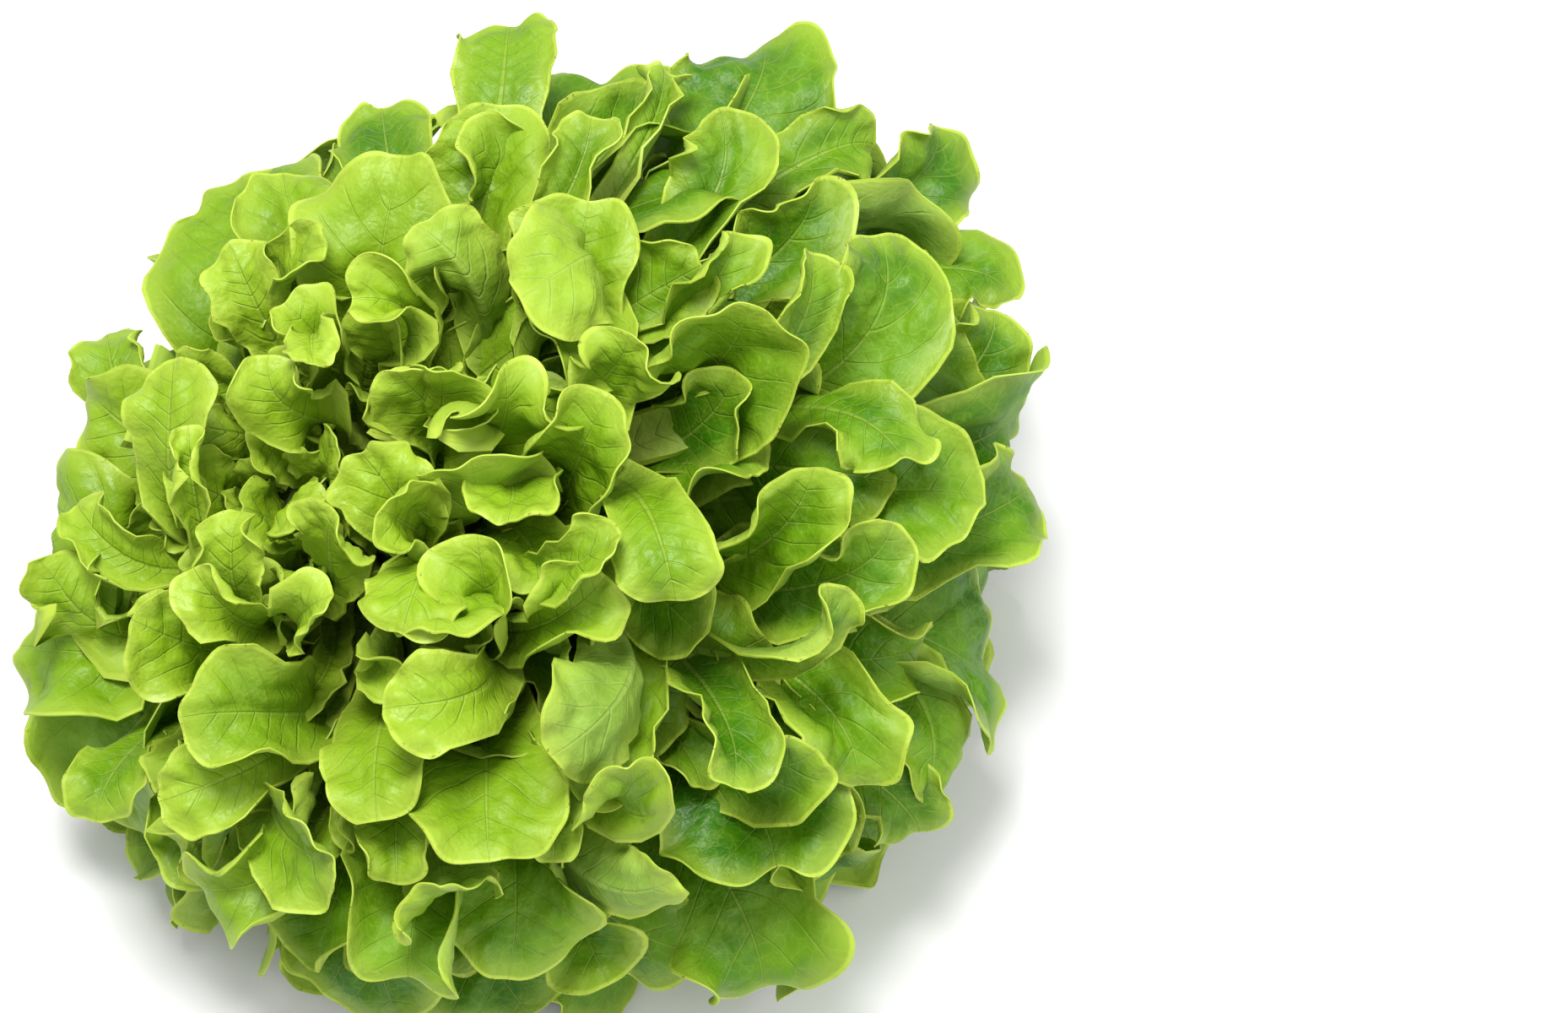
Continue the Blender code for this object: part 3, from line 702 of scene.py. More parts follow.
def fine_seen_plan():
    """The leaves of the photograph that only show in the fine head."""
    draw = random.Random(SEED + 2)
    plan = []
    for order, (name, row) in enumerate(FINE_SEEN_LEAVES.items()):
        leaf = seen_leaf(*row)
        way = unit(UNSHAPE @ (leaf["tip"] - DOME_CENTRE))
        polar = math.acos(min(1.0, way.dot(POLE)))
        share = min(1.0, polar / OUTER_POLAR) ** (1 / POLAR_POWER)
        leaf.update({
            "name": name,
            "order": FINE_SEEN_FIRST + order,
            "share": share,
            "height": root_height(share),
            "wave": draw.uniform(*FINE_SEEN_WAVES),
            "wave_length": draw.uniform(*WAVE_LENGTH_SPREAD),
        })
        plan.append(leaf)
    return plan


def give_finer_places(leaves):
    """Moves each named leaf that has a nearer place to it."""
    for leaf in leaves:
        if leaf.get("name") in FINER_PLACES:
            leaf.update(seen_leaf(*FINER_PLACES[leaf["name"]]))


def draw_in(leaves):
    """Moves the tips of the leaves that would stick out of the head into the dome."""
    for leaf in leaves:
        if leaf["order"] in DRAWN_IN:
            leaf["tip"] = leaf["tip"] - dome_normal(leaf["tip"]) * DRAWN_IN[leaf["order"]] / MM


def give_looks(leaves):
    """Gives each leaf read from the photograph its bend, rolls and waves."""
    draw = random.Random(SEED + 3)
    for leaf in leaves:
        if "name" not in leaf:
            continue
        rolls = (draw.uniform(*SEEN_ROLLS), draw.uniform(*SEEN_ROLLS))
        looks = (draw.uniform(*SEEN_HOODS), *rolls, min(leaf["wave"], SEEN_WAVE_LIMIT))
        hood, left, right, wave = SEEN_LOOKS.get(leaf["name"], looks)
        leaf.update({"hood": hood, "rolls": (left, right), "wave": wave * SEEN_WAVE})
        leaf["twist"] = draw.uniform(*SEEN_TWISTS)


def midrib(leaf):
    """Points along a leaf's midrib from its root to its tip, and their distances from the tip."""
    centre = STEM_FOOT + AXIS * leaf["height"]
    joint = leaf["tip"] - leaf["along"] * leaf["handle"]
    out = unit((joint - centre) - AXIS * (joint - centre).dot(AXIS))
    root = centre + out * (core_radius(leaf["height"]) - ROOT_DEPTH)
    reach = np.linalg.norm(joint - root)
    start = unit(AXIS * mix(*STALK_RISES, leaf["share"]) + out)
    swing = root + start * reach * STALK_SWING
    s = np.linspace(0.0, 1.0, MIDRIB_STEPS)[:, None]
    r = 1 - s
    points = root * r**3 + swing * 3 * r * r * s + joint * 3 * r * s * s + leaf["tip"] * s**3
    steps = np.linalg.norm(np.diff(points, axis=0), axis=1)
    back = np.concatenate((np.cumsum(steps[::-1])[::-1], [0.0]))
    return points, back, out


def along_curve(table, back, places):
    """The rows of a table, given at falling distances back from a tip, at other such places."""
    return np.stack([np.interp(places, back[::-1], column[::-1]) for column in table.T], axis=-1)


def leaf_grid(leaf, length):
    """The flat outline of a leaf at every crossing of its grid, in half widths.

    It gives the place across and back from the tip, how near the margin is, and the way along the margin.
    """
    columns, tip_rows, body_rows = leaf["grid"]
    u = np.linspace(-1.0, 1.0, columns + 1)[None, :]
    v = np.linspace(1.0, 0.0, tip_rows + 1)[:, None]
    tip_across = u * np.sqrt(1 - v * v / 2)
    tip_up = v * np.sqrt(1 - u * u / 2)
    tip_edge = np.hypot(tip_across, tip_up)
    tip_way = np.arctan2(tip_across, np.maximum(tip_up, TINY))
    rows = np.linspace(0.0, 1.0, body_rows + 1)[1:, None]
    body_back = 1 + (length - 1) * rows**BODY_ROW_GROWTH + 0 * u
    narrowing = mix(1.0, STALK_SHARE, smooth(*BLADE_NARROWS, body_back))
    waist = 1 - leaf["waist"] * np.exp(-(((body_back - WAIST_AT) / WAIST_REACH) ** 2))
    body_across = u * narrowing * waist
    across = np.concatenate((tip_across, body_across))
    back = np.concatenate((1 - tip_up, body_back))
    edge = np.concatenate((tip_edge, np.abs(u) + 0 * body_back))
    way = np.concatenate((tip_way, np.sign(u) * (math.pi / 2 + body_back - 1)))
    return across, back, edge, way


def waves(way, draw, lengths):
    """A sum of even waves along the margin, one for each length in half widths."""
    total = 0.0
    for length, height in lengths:
        total = total + height * np.sin(math.tau * way / length + draw.uniform(0, math.tau))
    return total


def summed_from_middle(values, steps):
    """The running sum of a table's values along each row, with nothing at the row's middle."""
    means = (values[:, 1:] + values[:, :-1]) / 2
    total = np.concatenate((np.zeros((len(values), 1)), np.cumsum(means * steps, axis=1)), axis=1)
    return total - total[:, [steps.shape[1] // 2]]


def walked(start, ways, steps):
    """The places reached from a start by steps along a table of directions."""
    return np.concatenate((start[None, :], start + np.cumsum((ways[1:] + ways[:-1]) / 2 * steps, axis=0)))


def bent_tip(points, marks, face, reach, angle):
    """A midrib whose last stretch before the tip bends evenly towards its face."""
    along = unit(np.gradient(points, axis=0))
    turn = angle * np.clip(1 - marks / reach, 0.0, 1.0)[:, None]
    up = unit(face - along * (along @ face)[:, None])
    steps = np.diff(-marks)[:, None]
    moved = walked(points[0], along * np.cos(turn) + up * np.sin(turn), steps)
    straight = walked(points[0], along, steps)
    back_again = (straight[-1] - moved[-1]) * BENT_BACK * (1 - smooth(reach, 3 * reach, marks))[:, None]
    return points + moved - straight + back_again


def outlined(leaf, length, draw):
    """A leaf's grid with a wavy outline and a notched tip, and how open the blade is at each crossing."""
    across, back, edge, way = leaf_grid(leaf, length)
    open_blade = 1 - smooth(*BLADE_CLOSES, back)
    wobble = waves(way, draw, OUTLINE_WAVES) * edge**2 * open_blade
    notch = max(0.0, draw.uniform(*NOTCH_SPREAD)) * np.exp(-((way / NOTCH_WIDTH) ** 2)) * edge**3
    across = across * (1 + wobble)
    back = np.maximum(back - (1 - np.minimum(back, 1)) * wobble + notch, 0.0)
    return across, back, edge, way, open_blade


def curled(leaf, across, back, way, open_blade, draw):
    """The angle that the blade curls to at each crossing, and the place sideways and up that it curls to."""
    roll = leaf.get("rolls", (draw.uniform(*MARGIN_ROLLS), draw.uniform(*MARGIN_ROLLS)))
    lengths = ((leaf["wave_length"] * FRILL_STRETCH, 1.0), SHORT_FRILL)
    frill = leaf["wave"] * FRILL * waves(way, draw, lengths)
    curve = mix(STALK_CURVE, leaf["cup"], open_blade)
    pull = (np.where(across < 0, *roll) + frill) * smooth(*MARGIN_REACH, np.abs(across)) * open_blade
    steps = np.diff(across, axis=1)
    crease = draw.uniform(*CREASES) * open_blade * smooth(*CREASE_STARTS, back)
    angle = summed_from_middle(curve + pull, steps) + crease * np.tanh(across / CREASE_WIDTH)
    return angle, summed_from_middle(np.cos(angle), steps), summed_from_middle(np.sin(angle), steps)


def crossed_waves(one_way, other_way, draw, length, height, other_length):
    """Dents where two trains of waves cross."""
    return waves(one_way, draw, ((length, height),)) * waves(other_way, draw, ((other_length, 1.0),))


def ruffled(leaf, across, back, edge, way, open_blade, draw):
    """How far ruffles, dents and puffs between side veins lift the blade, and the phase of those veins."""
    lengths = ((leaf["wave_length"] * RUFFLE_STRETCH, leaf["wave"]), *SHORT_RUFFLES)
    lift = (waves(way, draw, lengths) * edge**RUFFLE_POWER) * open_blade
    near, far = LARGE_DENT_SLANTS
    dents = crossed_waves(across * near + back, across - back * far, draw, *LARGE_DENTS)
    dents = dents + crossed_waves(across + back * SMALL_DENT_SLANT, back, draw, *SMALL_DENTS)
    side = np.abs(across)
    phase = (back + VEIN_SLOPE * side**VEIN_BEND) / VEIN_GAP
    phase = phase + waves(back, draw, (VEIN_LEAN,)) * across + waves(back, draw, (VEIN_SHIFT,))
    puff = np.abs(np.sin(math.pi * phase)) * smooth(*PUFF_STARTS, side) * (1 - smooth(*PUFF_ENDS, edge))
    lift = lift + (dents + puff * draw.uniform(*PUFF_HEIGHTS)) * open_blade * smooth(*FLAT_RIB, side)
    return lift, phase


def laid_over_floor(middle, order):
    """A blade's places, pressed softly flat where they would be under the floor, each ply over the last."""
    lowest = LOWEST_BLADE + PLY * (order % PLIES)
    over = (middle[..., 2] - lowest) / SOFT_GROUND
    middle[..., 2] = lowest + SOFT_GROUND * np.logaddexp(0.0, over)
    return middle


def blotches(across, back, draw):
    """How light the skin is in large soft patches."""
    near, far = BLOTCH_SLANTS
    patches = 0.5 + waves(across + near * back, draw, BLOTCHES)
    return patches + waves(back - far * across, draw, CROSS_BLOTCHES)


def fine_leaf(leaf):
    """One leaf's middle surface, its thickness and what its skin is painted by, at each grid crossing."""
    draw = random.Random(SEED * SEEDS_APART + leaf["order"])
    half = leaf["half"]
    points, marks, out = midrib(leaf)
    bend = leaf.get("hood", draw.uniform(*HOOD_SPREAD) * mix(1.0, OUTER_HOOD, leaf["share"]))
    points = bent_tip(points, marks, leaf["face"], HOOD_REACH * half, bend)
    across, back, edge, way, open_blade = outlined(leaf, marks[0] / half, draw)
    spot = along_curve(points, marks, back * half)
    along = unit(along_curve(np.gradient(points, axis=0), marks, back * half))
    turned_out = smooth(*FACE_TURNS, back * half / marks[0])[..., None]
    face = mix(AXIS * STALK_FACE_RISE - out, leaf["face"], turned_out)
    face = unit(face - along * (face * along).sum(axis=-1, keepdims=True))
    side = np.cross(along, face)
    twist = (leaf.get("twist", draw.uniform(*TWIST_SPREAD)) * (TWIST_FROM - back) * open_blade)[..., None]
    side, face = side * np.cos(twist) + face * np.sin(twist), face * np.cos(twist) - side * np.sin(twist)
    angle, sideways, rise = curled(leaf, across, back, way, open_blade, draw)
    lift, phase = ruffled(leaf, across, back, edge, way, open_blade, draw)
    angle = angle[..., None]
    middle = side * sideways[..., None] + face * rise[..., None]
    middle = spot + (middle + (face * np.cos(angle) - side * np.sin(angle)) * lift[..., None]) * half
    thickness = mix(BLADE_THICKNESS, MARGIN_THICKNESS, smooth(*THIN_MARGIN, edge))
    rib = np.exp(-((across * half / RIB_HALF_WIDTH) ** 2)) * smooth(*RIB_STARTS, back)
    map_up = back * half * MAP_SCALE + leaf["order"] * MAP_STEP
    return {
        "points": laid_over_floor(middle, leaf["order"]),
        "thickness": thickness + STALK_THICKENING * (1 - open_blade),
        "rib_height": RIB_HEIGHT * rib,
        "painted": {
            "margin": (1 - edge) * half * MM,
            "across": across * half * MM,
            "back": back,
            "vein": phase,
            "vein_gap": 0 * back + VEIN_GAP * half * MM,
            "tint": 0 * back + draw.random(),
            "blotch": blotches(across, back, draw),
            "youth": 0 * back + 1 - smooth(*YOUTH_ENDS, leaf["share"]),
        },
        "flat": np.stack((across * half * MAP_SCALE, map_up), axis=-1),
    }


def grid_normals(points):
    """The direction that a grid of points faces at each crossing, from the faces round it."""
    falling = points[1:, 1:] - points[:-1, :-1]
    rising = points[:-1, 1:] - points[1:, :-1]
    faces = np.cross(falling, rising)
    total = np.zeros_like(points)
    for rows in (slice(None, -1), slice(1, None)):
        for columns in (slice(None, -1), slice(1, None)):
            total[rows, columns] += faces
    return unit(total)


def meshed(name, shape):
    """A new mesh that takes over a finished shape."""
    mesh = bpy.data.meshes.new(name)
    shape.to_mesh(mesh)
    shape.free()
    return mesh


def placed(name, data):
    """A new object in the scene."""
    made = bpy.data.objects.new(name, data)
    bpy.context.scene.collection.objects.link(made)
    return made


def leaf_template(grid):
    """A flat leaf with an upper side, an underside and a rim, and the grid crossing of each corner."""
    shape = bmesh.new()
    columns, rows = grid[0], grid[1] + grid[2]
    bmesh.ops.create_grid(shape, x_segments=columns, y_segments=rows, size=1)
    bmesh.ops.solidify(shape, geom=shape.faces[:], thickness=1)
    shape.normal_update()
    for face in shape.faces:
        face.smooth = True
        if face.normal.z < -0.5:
            face.material_index = 1
        elif face.normal.z < 0.5:
            face.material_index = 2
    corners = np.array([corner.co for corner in shape.verts])
    mesh = meshed("leaf_template", shape)
    column = np.rint((corners[:, 0] + 1) / 2 * columns).astype(int)
    row = np.rint((1 - corners[:, 1]) / 2 * rows).astype(int)
    return mesh, (row, column), corners[:, 2] < -0.5


TEMPLATES = {grid: leaf_template(grid) for grid in (LARGE_GRID, SMALL_GRID)}


def leaf_corners(fine, crossing, under):
    """The corners of a closed blade: its middle surface moved out to both sides, with the rib below."""
    points, normals = fine["points"][crossing], grid_normals(fine["points"])[crossing]
    depth = fine["thickness"][crossing] / 2
    depth = np.where(under, -depth - fine["rib_height"][crossing], depth)
    return points + normals * depth[:, None]


def leaves_piece(name, leaves):
    """Many leaves as one piece, with the attributes and the map that their skin is painted by."""
    shape = bmesh.new()
    corners, painted, flat = [], [], []
    for leaf in leaves:
        mesh, crossing, under = TEMPLATES[leaf["grid"]]
        fine = fine_leaf(leaf)
        shape.from_mesh(mesh)
        corners.append(leaf_corners(fine, crossing, under))
        painted.append({key: values[crossing] for key, values in fine["painted"].items()})
        flat.append(fine["flat"][crossing])
    mesh = meshed(name, shape)
    mesh.vertices.foreach_set("co", np.concatenate(corners).ravel())
    for key in painted[0]:
        values = np.concatenate([leaf[key] for leaf in painted])
        mesh.attributes.new(key, "FLOAT", "POINT").data.foreach_set("value", values.astype(np.float32))
    flat = np.concatenate(flat)
    corner_of = np.empty(len(mesh.loops), np.int32)
    mesh.loops.foreach_get("vertex_index", corner_of)
    mesh.uv_layers.new(name="leaf").uv.foreach_set("vector", flat[corner_of].astype(np.float32).ravel())
    mesh.set_sharp_from_angle(angle=SHARP)
    for finish in (UPPER, LOWER, SIDE_FACES_GREEN_AND_HIGHLIGHT):
        mesh.materials.append(finish)
    mesh.update()
    piece = placed(name, mesh)
    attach(piece, "root")
    return piece


def blade_tree(leaf):
    """A search tree of a leaf's blade without its stalk, and the blade's middle."""
    fine = fine_leaf(dict(leaf, grid=TRIAL_GRID))
    rows = int((fine["painted"]["back"].max(axis=1) < BLADE_ONLY).sum())
    points = fine["points"][:rows].reshape(-1, 3)
    across = TRIAL_GRID[0] + 1
    first = (np.arange(rows - 1)[:, None] * across + np.arange(across - 1)).ravel()
    faces = np.stack((first, first + 1, first + across + 1, first + across), axis=-1)
    return BVHTree.FromPolygons(points.tolist(), faces.tolist()), points.mean(axis=0)


def kept_clear(leaves, moves, settled, most_hits):
    """The leaves, each at the place out of a few near its own where it cuts through the fewest others."""
    kept = []
    for leaf in leaves:
        normal = dome_normal(leaf["tip"])
        best, fewest = None, math.inf
        for sunk_mm, swing in moves:
            along = turned(leaf["along"], leaf["face"], math.radians(swing))
            trial = dict(leaf, tip=leaf["tip"] - normal * sunk_mm / MM, along=along)
            trial["tip"][2] = max(trial["tip"][2], LOWEST_TIP)
            tree, middle = blade_tree(trial)
            near = [other for other, place in settled if np.linalg.norm(place - middle) < NEAR_LEAF]
            hits = sum(len(tree.overlap(other)) for other in near)
            if hits < fewest:
                best, fewest = (trial, tree, middle), hits
            if hits == 0:
                break
        if fewest <= most_hits:
            kept.append(best[0])
            settled.append(best[1:])
    return kept


def add(tree, kind, inputs=(), **settings):
    """A node with its settings made, and each of its inputs set to a value or joined to an output."""
    made = tree.nodes.new(kind)
    for name, value in settings.items():
        setattr(made, name, value)
    for key, value in dict(inputs).items():
        if isinstance(value, bpy.types.NodeSocket):
            tree.links.new(value, made.inputs[key])
        else:
            made.inputs[key].default_value = value
    return made


def maths(tree, operation, *values):
    return add(tree, "ShaderNodeMath", dict(enumerate(values)), operation=operation).outputs[0]


def band(tree, value, start, stop):
    """0 at start, 1 at stop, and an even curve between them."""
    inputs = {"Value": value, "From Min": start, "From Max": stop}
    return add(tree, "ShaderNodeMapRange", inputs, interpolation_type="SMOOTHSTEP").outputs[0]


def blended(tree, share, a, b):
    inputs = {0: share, 6: a, 7: b}
    return add(tree, "ShaderNodeMix", inputs, data_type="RGBA").outputs[2]


def carried(tree, name):
    """An attribute that the leaves carry."""
    return add(tree, "ShaderNodeAttribute", attribute_name=name).outputs["Fac"]


def times(tree, a, b):
    return maths(tree, "MULTIPLY", a, b)


def noise(tree, place, scale, detail):
    """The outputs of a noise over a place: its value, then its colour."""
    return add(tree, "ShaderNodeTexNoise", {"Vector": place, "Scale": scale, "Detail": detail}).outputs


def leaf_veins(tree, bent):
    """How much the fine net, the side veins and the midrib show at each place."""
    pattern = {"Vector": bent, "Scale": NET_SCALE}
    cells = add(tree, "ShaderNodeTexVoronoi", pattern, feature="DISTANCE_TO_EDGE").outputs[0]
    net = band(tree, cells, *NET_LINE)
    to_vein = times(tree, maths(tree, "PINGPONG", carried(tree, "vein"), 0.5), carried(tree, "vein_gap"))
    inside = band(tree, carried(tree, "margin"), *VEINS_START)
    side_veins = times(tree, band(tree, to_vein, *SIDE_VEIN), inside)
    rib_width = maths(tree, "MULTIPLY_ADD", carried(tree, "back"), *MIDRIB_WIDENING)
    from_rib = maths(tree, "DIVIDE", maths(tree, "ABSOLUTE", carried(tree, "across")), rib_width)
    return net, side_veins, band(tree, from_rib, *MIDRIB)


def leaf_colour(tree, given, net, side_veins, rib, mottle, grain):
    """The skin's colour: patches of green, paler when young, with veins, a pale rim that carries a painted
    highlight of the lit edge, and a few brown specks.
    """
    margin = carried(tree, "margin")
    tone = maths(tree, "MULTIPLY_ADD", carried(tree, "blotch"), *BLOTCH_TONE)
    tone = maths(tree, "MULTIPLY_ADD", carried(tree, "tint"), TINT_TONE, tone)
    tone = maths(tree, "MULTIPLY_ADD", mottle, MOTTLE_TONE, tone)
    tone = maths(tree, "MAXIMUM", 0.0, maths(tree, "SUBTRACT", tone, TONE_START))
    colour = blended(tree, tone, given["Deep"], given["Light"])
    colour = blended(tree, times(tree, carried(tree, "youth"), YOUTH_SHOW), colour, given["Young"])
    colour = blended(tree, times(tree, band(tree, margin, *PALE_MARGIN), MARGIN_SHOW), colour, given["Margin Green And Highlight"])
    shown = maths(tree, "MAXIMUM", times(tree, net, NET_SHOW), times(tree, side_veins, VEINS_SHOW))
    shown = maths(tree, "MAXIMUM", times(tree, shown, given["Vein Show"]), times(tree, rib, VEINS_SHOW))
    shown = maths(tree, "MAXIMUM", shown, band(tree, carried(tree, "back"), *PALE_STALK))
    colour = blended(tree, shown, colour, given["Pale"])
    # The thin rim line: the margin's own paler colour with a painted highlight of the lit edge
    colour = blended(tree, band(tree, margin, *THIN_LINE_GREEN_AND_HIGHLIGHT), colour, given["Margin Green And Highlight"])
    specks = times(tree, band(tree, grain, *SPECK), band(tree, margin, *SPECKS_START))
    return blended(tree, times(tree, specks, SPECKS_SHOW), colour, SPECK_BROWN)


def leaf_relief(tree, bent, side_veins, rib, mottle, grain):
    """The skin's height: fine grain and lumps, with the veins sunk in."""
    height = times(tree, grain, GRAIN_RELIEF)
    height = maths(tree, "SUBTRACT", height, times(tree, side_veins, VEIN_RELIEF))
    height = maths(tree, "SUBTRACT", height, times(tree, rib, MIDRIB_RELIEF))
    height = maths(tree, "MULTIPLY_ADD", mottle, MOTTLE_RELIEF, height)
    lumpy = maths(tree, "MULTIPLY_ADD", carried(tree, "tint"), *LUMP_RELIEF)
    return maths(tree, "ADD", times(tree, noise(tree, bent, *LUMPS)[0], lumpy), height)


def leaf_skin():
    """The group that gives a leaf's skin its colour, roughness and relief."""
    tree = bpy.data.node_groups.new("leaf_skin", "ShaderNodeTree")
    for name in ("Deep", "Light", "Young", "Pale", "Margin Green And Highlight"):
        tree.interface.new_socket(name, in_out="INPUT", socket_type="NodeSocketColor")
    for name in ("Vein Show", "Base Roughness"):
        tree.interface.new_socket(name, in_out="INPUT", socket_type="NodeSocketFloat")
    tree.interface.new_socket("Colour", in_out="OUTPUT", socket_type="NodeSocketColor")
    for name in ("Roughness", "Height"):
        tree.interface.new_socket(name, in_out="OUTPUT", socket_type="NodeSocketFloat")
    given = tree.nodes.new("NodeGroupInput").outputs
    place = add(tree, "ShaderNodeUVMap", uv_map="leaf").outputs[0]
    grain = noise(tree, place, *GRAIN)[0]
    mottle = noise(tree, place, *MOTTLE)[0]
    bent = noise(tree, place, *BENDING)[1]
    bent = add(tree, "ShaderNodeVectorMath", {0: bent, 3: NET_BEND}, operation="SCALE").outputs[0]
    bent = add(tree, "ShaderNodeVectorMath", {0: bent, 1: place}, operation="ADD").outputs[0]
    net, side_veins, rib = leaf_veins(tree, bent)
    rough = maths(tree, "ADD", given["Base Roughness"], -BLOTCH_GLOSS / 2)
    add(tree, "NodeGroupOutput", {
        "Colour": leaf_colour(tree, given, net, side_veins, rib, mottle, grain),
        "Roughness": maths(tree, "MULTIPLY_ADD", carried(tree, "blotch"), BLOTCH_GLOSS, rough),
        "Height": leaf_relief(tree, bent, side_veins, rib, mottle, grain),
    })
    return tree


def leaf_material(name, colours, vein_show, roughness, relief):
    """A leaf's finish: its skin on a satin surface that lets some light through."""
    made = bpy.data.materials.new(name)
    made.use_nodes = True
    tree = made.node_tree
    tree.nodes.clear()
    inputs = dict(zip(("Deep", "Light", "Young", "Pale", "Margin Green And Highlight"), colours))
    inputs.update({"Vein Show": vein_show, "Base Roughness": roughness})
    leaf = add(tree, "ShaderNodeGroup", node_tree=SKIN)
    for key, value in inputs.items():
        leaf.inputs[key].default_value = value
    raised = {"Height": leaf.outputs["Height"], "Strength": relief, "Distance": RELIEF_DEPTH}
    bump = add(tree, "ShaderNodeBump", raised)
    surface = {
        "Base Color": leaf.outputs["Colour"],
        "Roughness": leaf.outputs["Roughness"],
        "Normal": bump.outputs[0],
        "Specular IOR Level": LEAF_SHINE,
    }
    satin = add(tree, "ShaderNodeBsdfPrincipled", surface)
    lit = add(tree, "ShaderNodeBsdfTranslucent", {"Color": GLOW, "Normal": bump.outputs[0]})
    both = add(tree, "ShaderNodeMixShader", {0: GLOW_SHARE, 1: satin.outputs[0], 2: lit.outputs[0]})
    add(tree, "ShaderNodeOutputMaterial", {"Surface": both.outputs[0]})
    return made


def stem_material():
    """The stem's finish: pale flesh with faint strings along it, browned where it is cut or scarred."""
    made = bpy.data.materials.new("stem_flesh")
    made.use_nodes = True
    tree = made.node_tree
    shader = tree.nodes["Principled BSDF"]
    place = add(tree, "ShaderNodeTexCoord").outputs["Object"]
    strings = add(tree, "ShaderNodeMapping", {"Vector": place, "Scale": STEM_STRINGS}).outputs[0]
    strings = noise(tree, strings, 1.0, STRING_DETAIL)[0]
    stains = noise(tree, place, *STEM_STAINS)[0]
    height = add(tree, "ShaderNodeSeparateXYZ", {0: place}).outputs[2]
    cut = band(tree, height, *CUT_HEIGHTS)
    flesh = times(tree, strings, band(tree, height, *STRING_HEIGHTS))
    flesh = blended(tree, flesh, STEM_CREAM, STEM_GREEN)
    flesh = blended(tree, band(tree, height, *GREEN_HEIGHTS), flesh, STEM_GREEN)
    brown = times(tree, maths(tree, "MAXIMUM", cut, LEAST_STAIN), band(tree, stains, *STAINED))
    tree.links.new(blended(tree, brown, flesh, STEM_BROWN), shader.inputs["Base Color"])
    tree.links.new(maths(tree, "MULTIPLY_ADD", stains, *STEM_ROUGHNESS), shader.inputs["Roughness"])
    relief = {"Height": strings, "Strength": STRING_RELIEF, "Distance": STRING_DEPTH}
    tree.links.new(add(tree, "ShaderNodeBump", relief).outputs[0], shader.inputs["Normal"])
    return made


def stem_piece():
    """The cut stem, its crown and the narrow top that the heart grows from, ringed by leaf scars."""
    shape = bmesh.new()
    sides = {"segments": STEM_SIDES, "radius1": 1.0, "radius2": 1.0, "depth": 1.0}
    bmesh.ops.create_cone(shape, cap_ends=True, cap_tris=False, **sides)
    upright = [edge for edge in shape.edges if abs(edge.verts[0].co.z - edge.verts[1].co.z) > 0.5]
    bmesh.ops.subdivide_edges(shape, edges=upright, cuts=STEM_RINGS)
    low = STEM_FOOT - AXIS * STEM_SUNK
    across = unit(np.cross(AXIS, VIEW_RIGHT))
    beside = np.cross(across, AXIS)
    for corner in shape.verts:
        rise = (corner.co.z + 0.5) * (STEM_TOP + STEM_SUNK)
        angle = math.atan2(corner.co.y, corner.co.x)
        scars = STEM_SCAR * math.sin(rise / STEM_SCAR_GAP * math.tau + STEM_SCAR_TURNS * angle)
        radius = float(core_radius(rise - STEM_SUNK)) - STEM_INSIDE + scars
        spot = low + AXIS * rise + (across * math.cos(angle) + beside * math.sin(angle)) * radius
        spot[2] = max(spot[2], STEM_LOWEST)
        corner.co = spot
    for face in shape.faces:
        face.smooth = True
    bmesh.ops.recalc_face_normals(shape, faces=shape.faces[:])
    mesh = meshed("fine_stem", shape)
    mesh.set_sharp_from_angle(angle=SHARP)
    mesh.materials.append(stem_material())
    piece = placed("fine_stem", mesh)
    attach(piece, "root")
    return piece


def make_floor():
    finish = bpy.data.materials.new("floor_white")
    finish.use_nodes = True
    shader = finish.node_tree.nodes["Principled BSDF"]
    shader.inputs["Base Color"].default_value = FLOOR_WHITE
    shader.inputs["Roughness"].default_value = FLOOR_ROUGHNESS
    shape = bmesh.new()
    bmesh.ops.create_grid(shape, x_segments=1, y_segments=1, size=FLOOR_REACH)
    mesh = meshed("floor", shape)
    mesh.materials.append(finish)
    floor = placed("floor", mesh)


def make_camera():
    data = bpy.data.cameras.new("camera")
    data.lens = LENS_MM
    data.sensor_width = SENSOR_MM
    camera = placed("camera", data)
    camera.location = VIEW_TARGET + TO_VIEWER * VIEW_DISTANCE
    camera.rotation_euler = Vector(TO_VIEWER).to_track_quat("Z", "Y").to_euler()
    bpy.context.scene.camera = camera


def make_light(name, place, size, watts):
    data = bpy.data.lights.new(name, "AREA")
    data.size = size
    data.energy = watts
    light = placed(name, data)
    light.location = place
    light.rotation_euler = (Vector(place) - Vector(DOME_CENTRE)).to_track_quat("Z", "Y").to_euler()


def make_sky(strength):
    sky = bpy.data.worlds.new("sky")
    sky.use_nodes = True
    sky.node_tree.nodes["Background"].inputs["Color"].default_value = (1.0, 1.0, 1.0, 1.0)
    sky.node_tree.nodes["Background"].inputs["Strength"].default_value = strength
    bpy.context.scene.world = sky


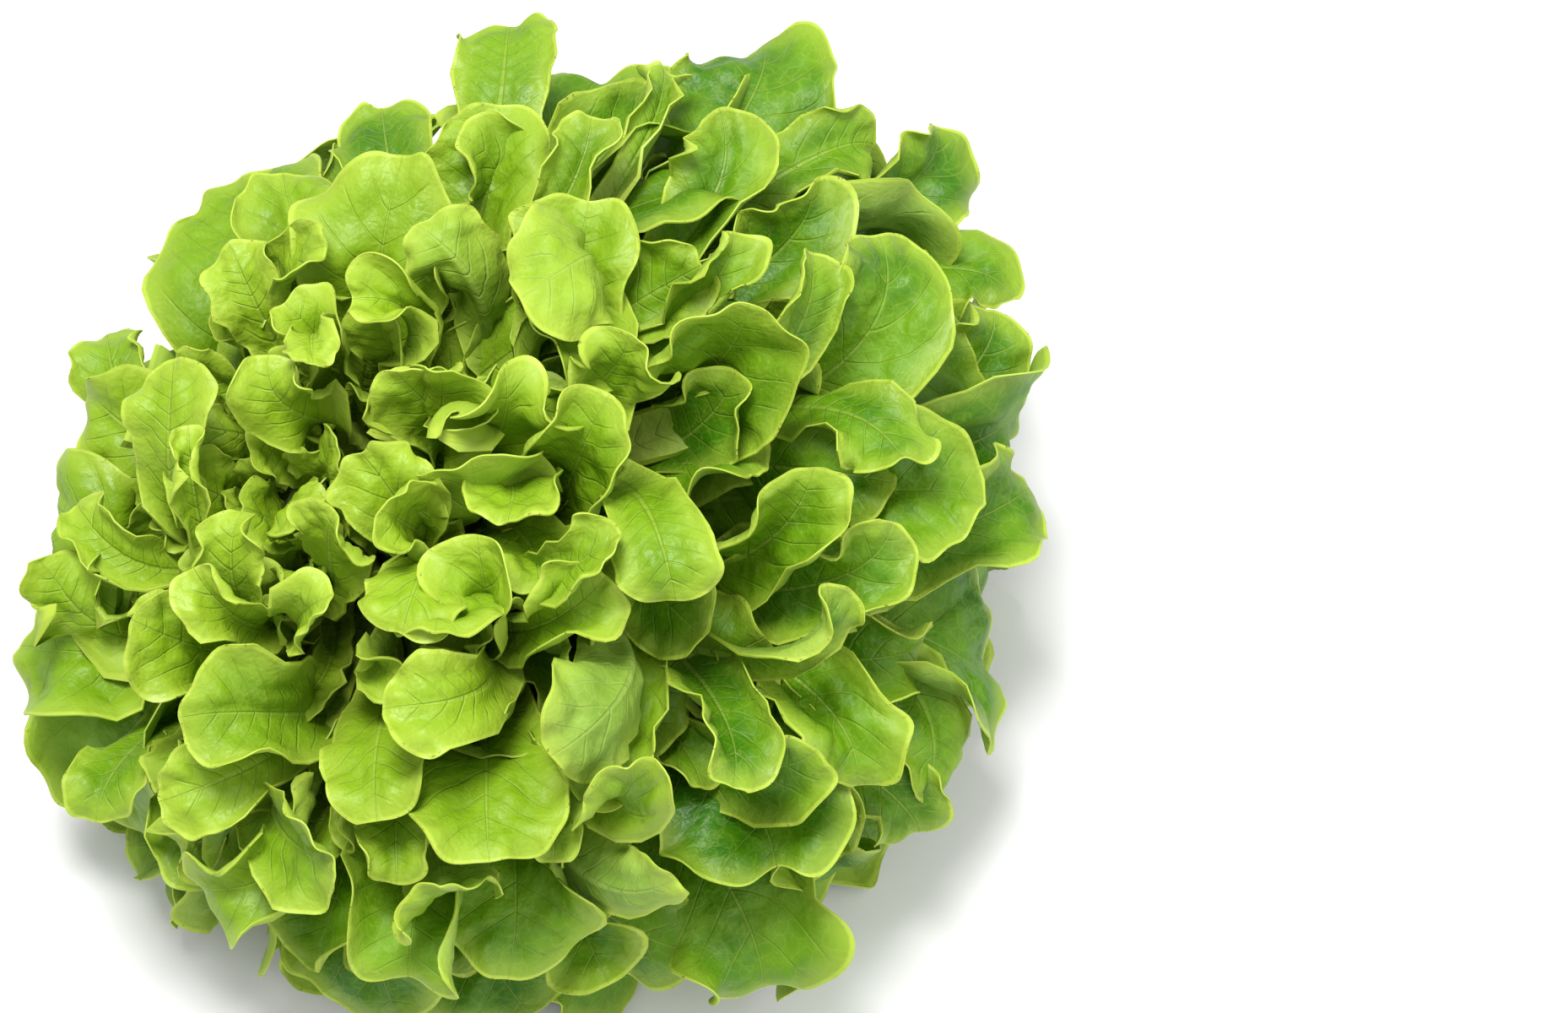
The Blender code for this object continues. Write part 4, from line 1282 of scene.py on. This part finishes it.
bpy.context.scene.view_settings.view_transform = "Standard"
bpy.context.scene.cycles.max_bounces = 4
bpy.context.scene.cycles.diffuse_bounces = 3
bpy.context.scene.cycles.glossy_bounces = 1
make_camera()
make_floor()
make_sky(strength=0.68)
make_light("key", place=(-0.1, 0.1, 1.25), size=0.45, watts=17.4)
make_light("fill", place=(0.9, -0.6, 0.8), size=1.2, watts=5.5)

SKIN = leaf_skin()
ABOVE = (DEEP, LIGHT, YOUNG, PALE, MARGIN_GREEN_AND_HIGHLIGHT)
UPPER = leaf_material("leaf_upper", ABOVE, vein_show=0.7, roughness=0.48, relief=0.6)
BELOW = (UNDER_DEEP, UNDER_LIGHT, YOUNG, UNDER_PALE, MARGIN_GREEN_AND_HIGHLIGHT)
LOWER = leaf_material("leaf_underside", BELOW, vein_show=1.0, roughness=0.6, relief=0.5)
# The rim faces all take the rim colour: the margin's own paler green with a painted highlight of lit edges
SIDE_FACES_GREEN_AND_HIGHLIGHT = leaf_material("leaf_side_faces_green_and_highlight", (MARGIN_GREEN_AND_HIGHLIGHT,) * 5, vein_show=0.0, roughness=0.5, relief=0.0)
LEAVES = leaf_plan()
FILLING = filling_plan()
FINE_SEEN = fine_seen_plan()
give_finer_places(LEAVES)
draw_in(LEAVES + FILLING)
give_looks(LEAVES + FINE_SEEN)
SETTLED = []
for plan, grid in ((LEAVES, LARGE_GRID), (FINE_SEEN, LARGE_GRID), (FILLING, SMALL_GRID)):
    for leaf in plan:
        leaf["grid"] = grid
NAMED = kept_clear([leaf for leaf in LEAVES if "name" in leaf], SMALL_MOVES, SETTLED, math.inf)
FINE_SEEN = kept_clear(FINE_SEEN, SMALL_MOVES, SETTLED, math.inf)
RULED = kept_clear([leaf for leaf in LEAVES if "name" not in leaf], WIDE_MOVES, SETTLED, math.inf)
LEAVES = sorted(NAMED + RULED, key=lambda leaf: leaf["order"])
FILLING = kept_clear(FILLING, WIDE_MOVES, SETTLED, MOST_HITS)
heart = leaves_piece("fine_heart_leaves", LEAVES[:HEART_LEAVES] + FILLING[:HEART_FILLINGS])
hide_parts("heart_leaves")
upper = leaves_piece("fine_upper_leaves", LEAVES[HEART_LEAVES:UPPER_LEAVES_END])
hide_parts("outer_leaves")
lower = leaves_piece("fine_lower_leaves", LEAVES[UPPER_LEAVES_END:])
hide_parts("outer_leaves")
middle = leaves_piece("fine_filling_leaves", FILLING[HEART_FILLINGS:UPPER_FILLINGS_END])
more = leaves_piece("fine_seen_leaves", FINE_SEEN)
last = leaves_piece("fine_low_filling_leaves", FILLING[UPPER_FILLINGS_END:])
stem = stem_piece()
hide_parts("stem")
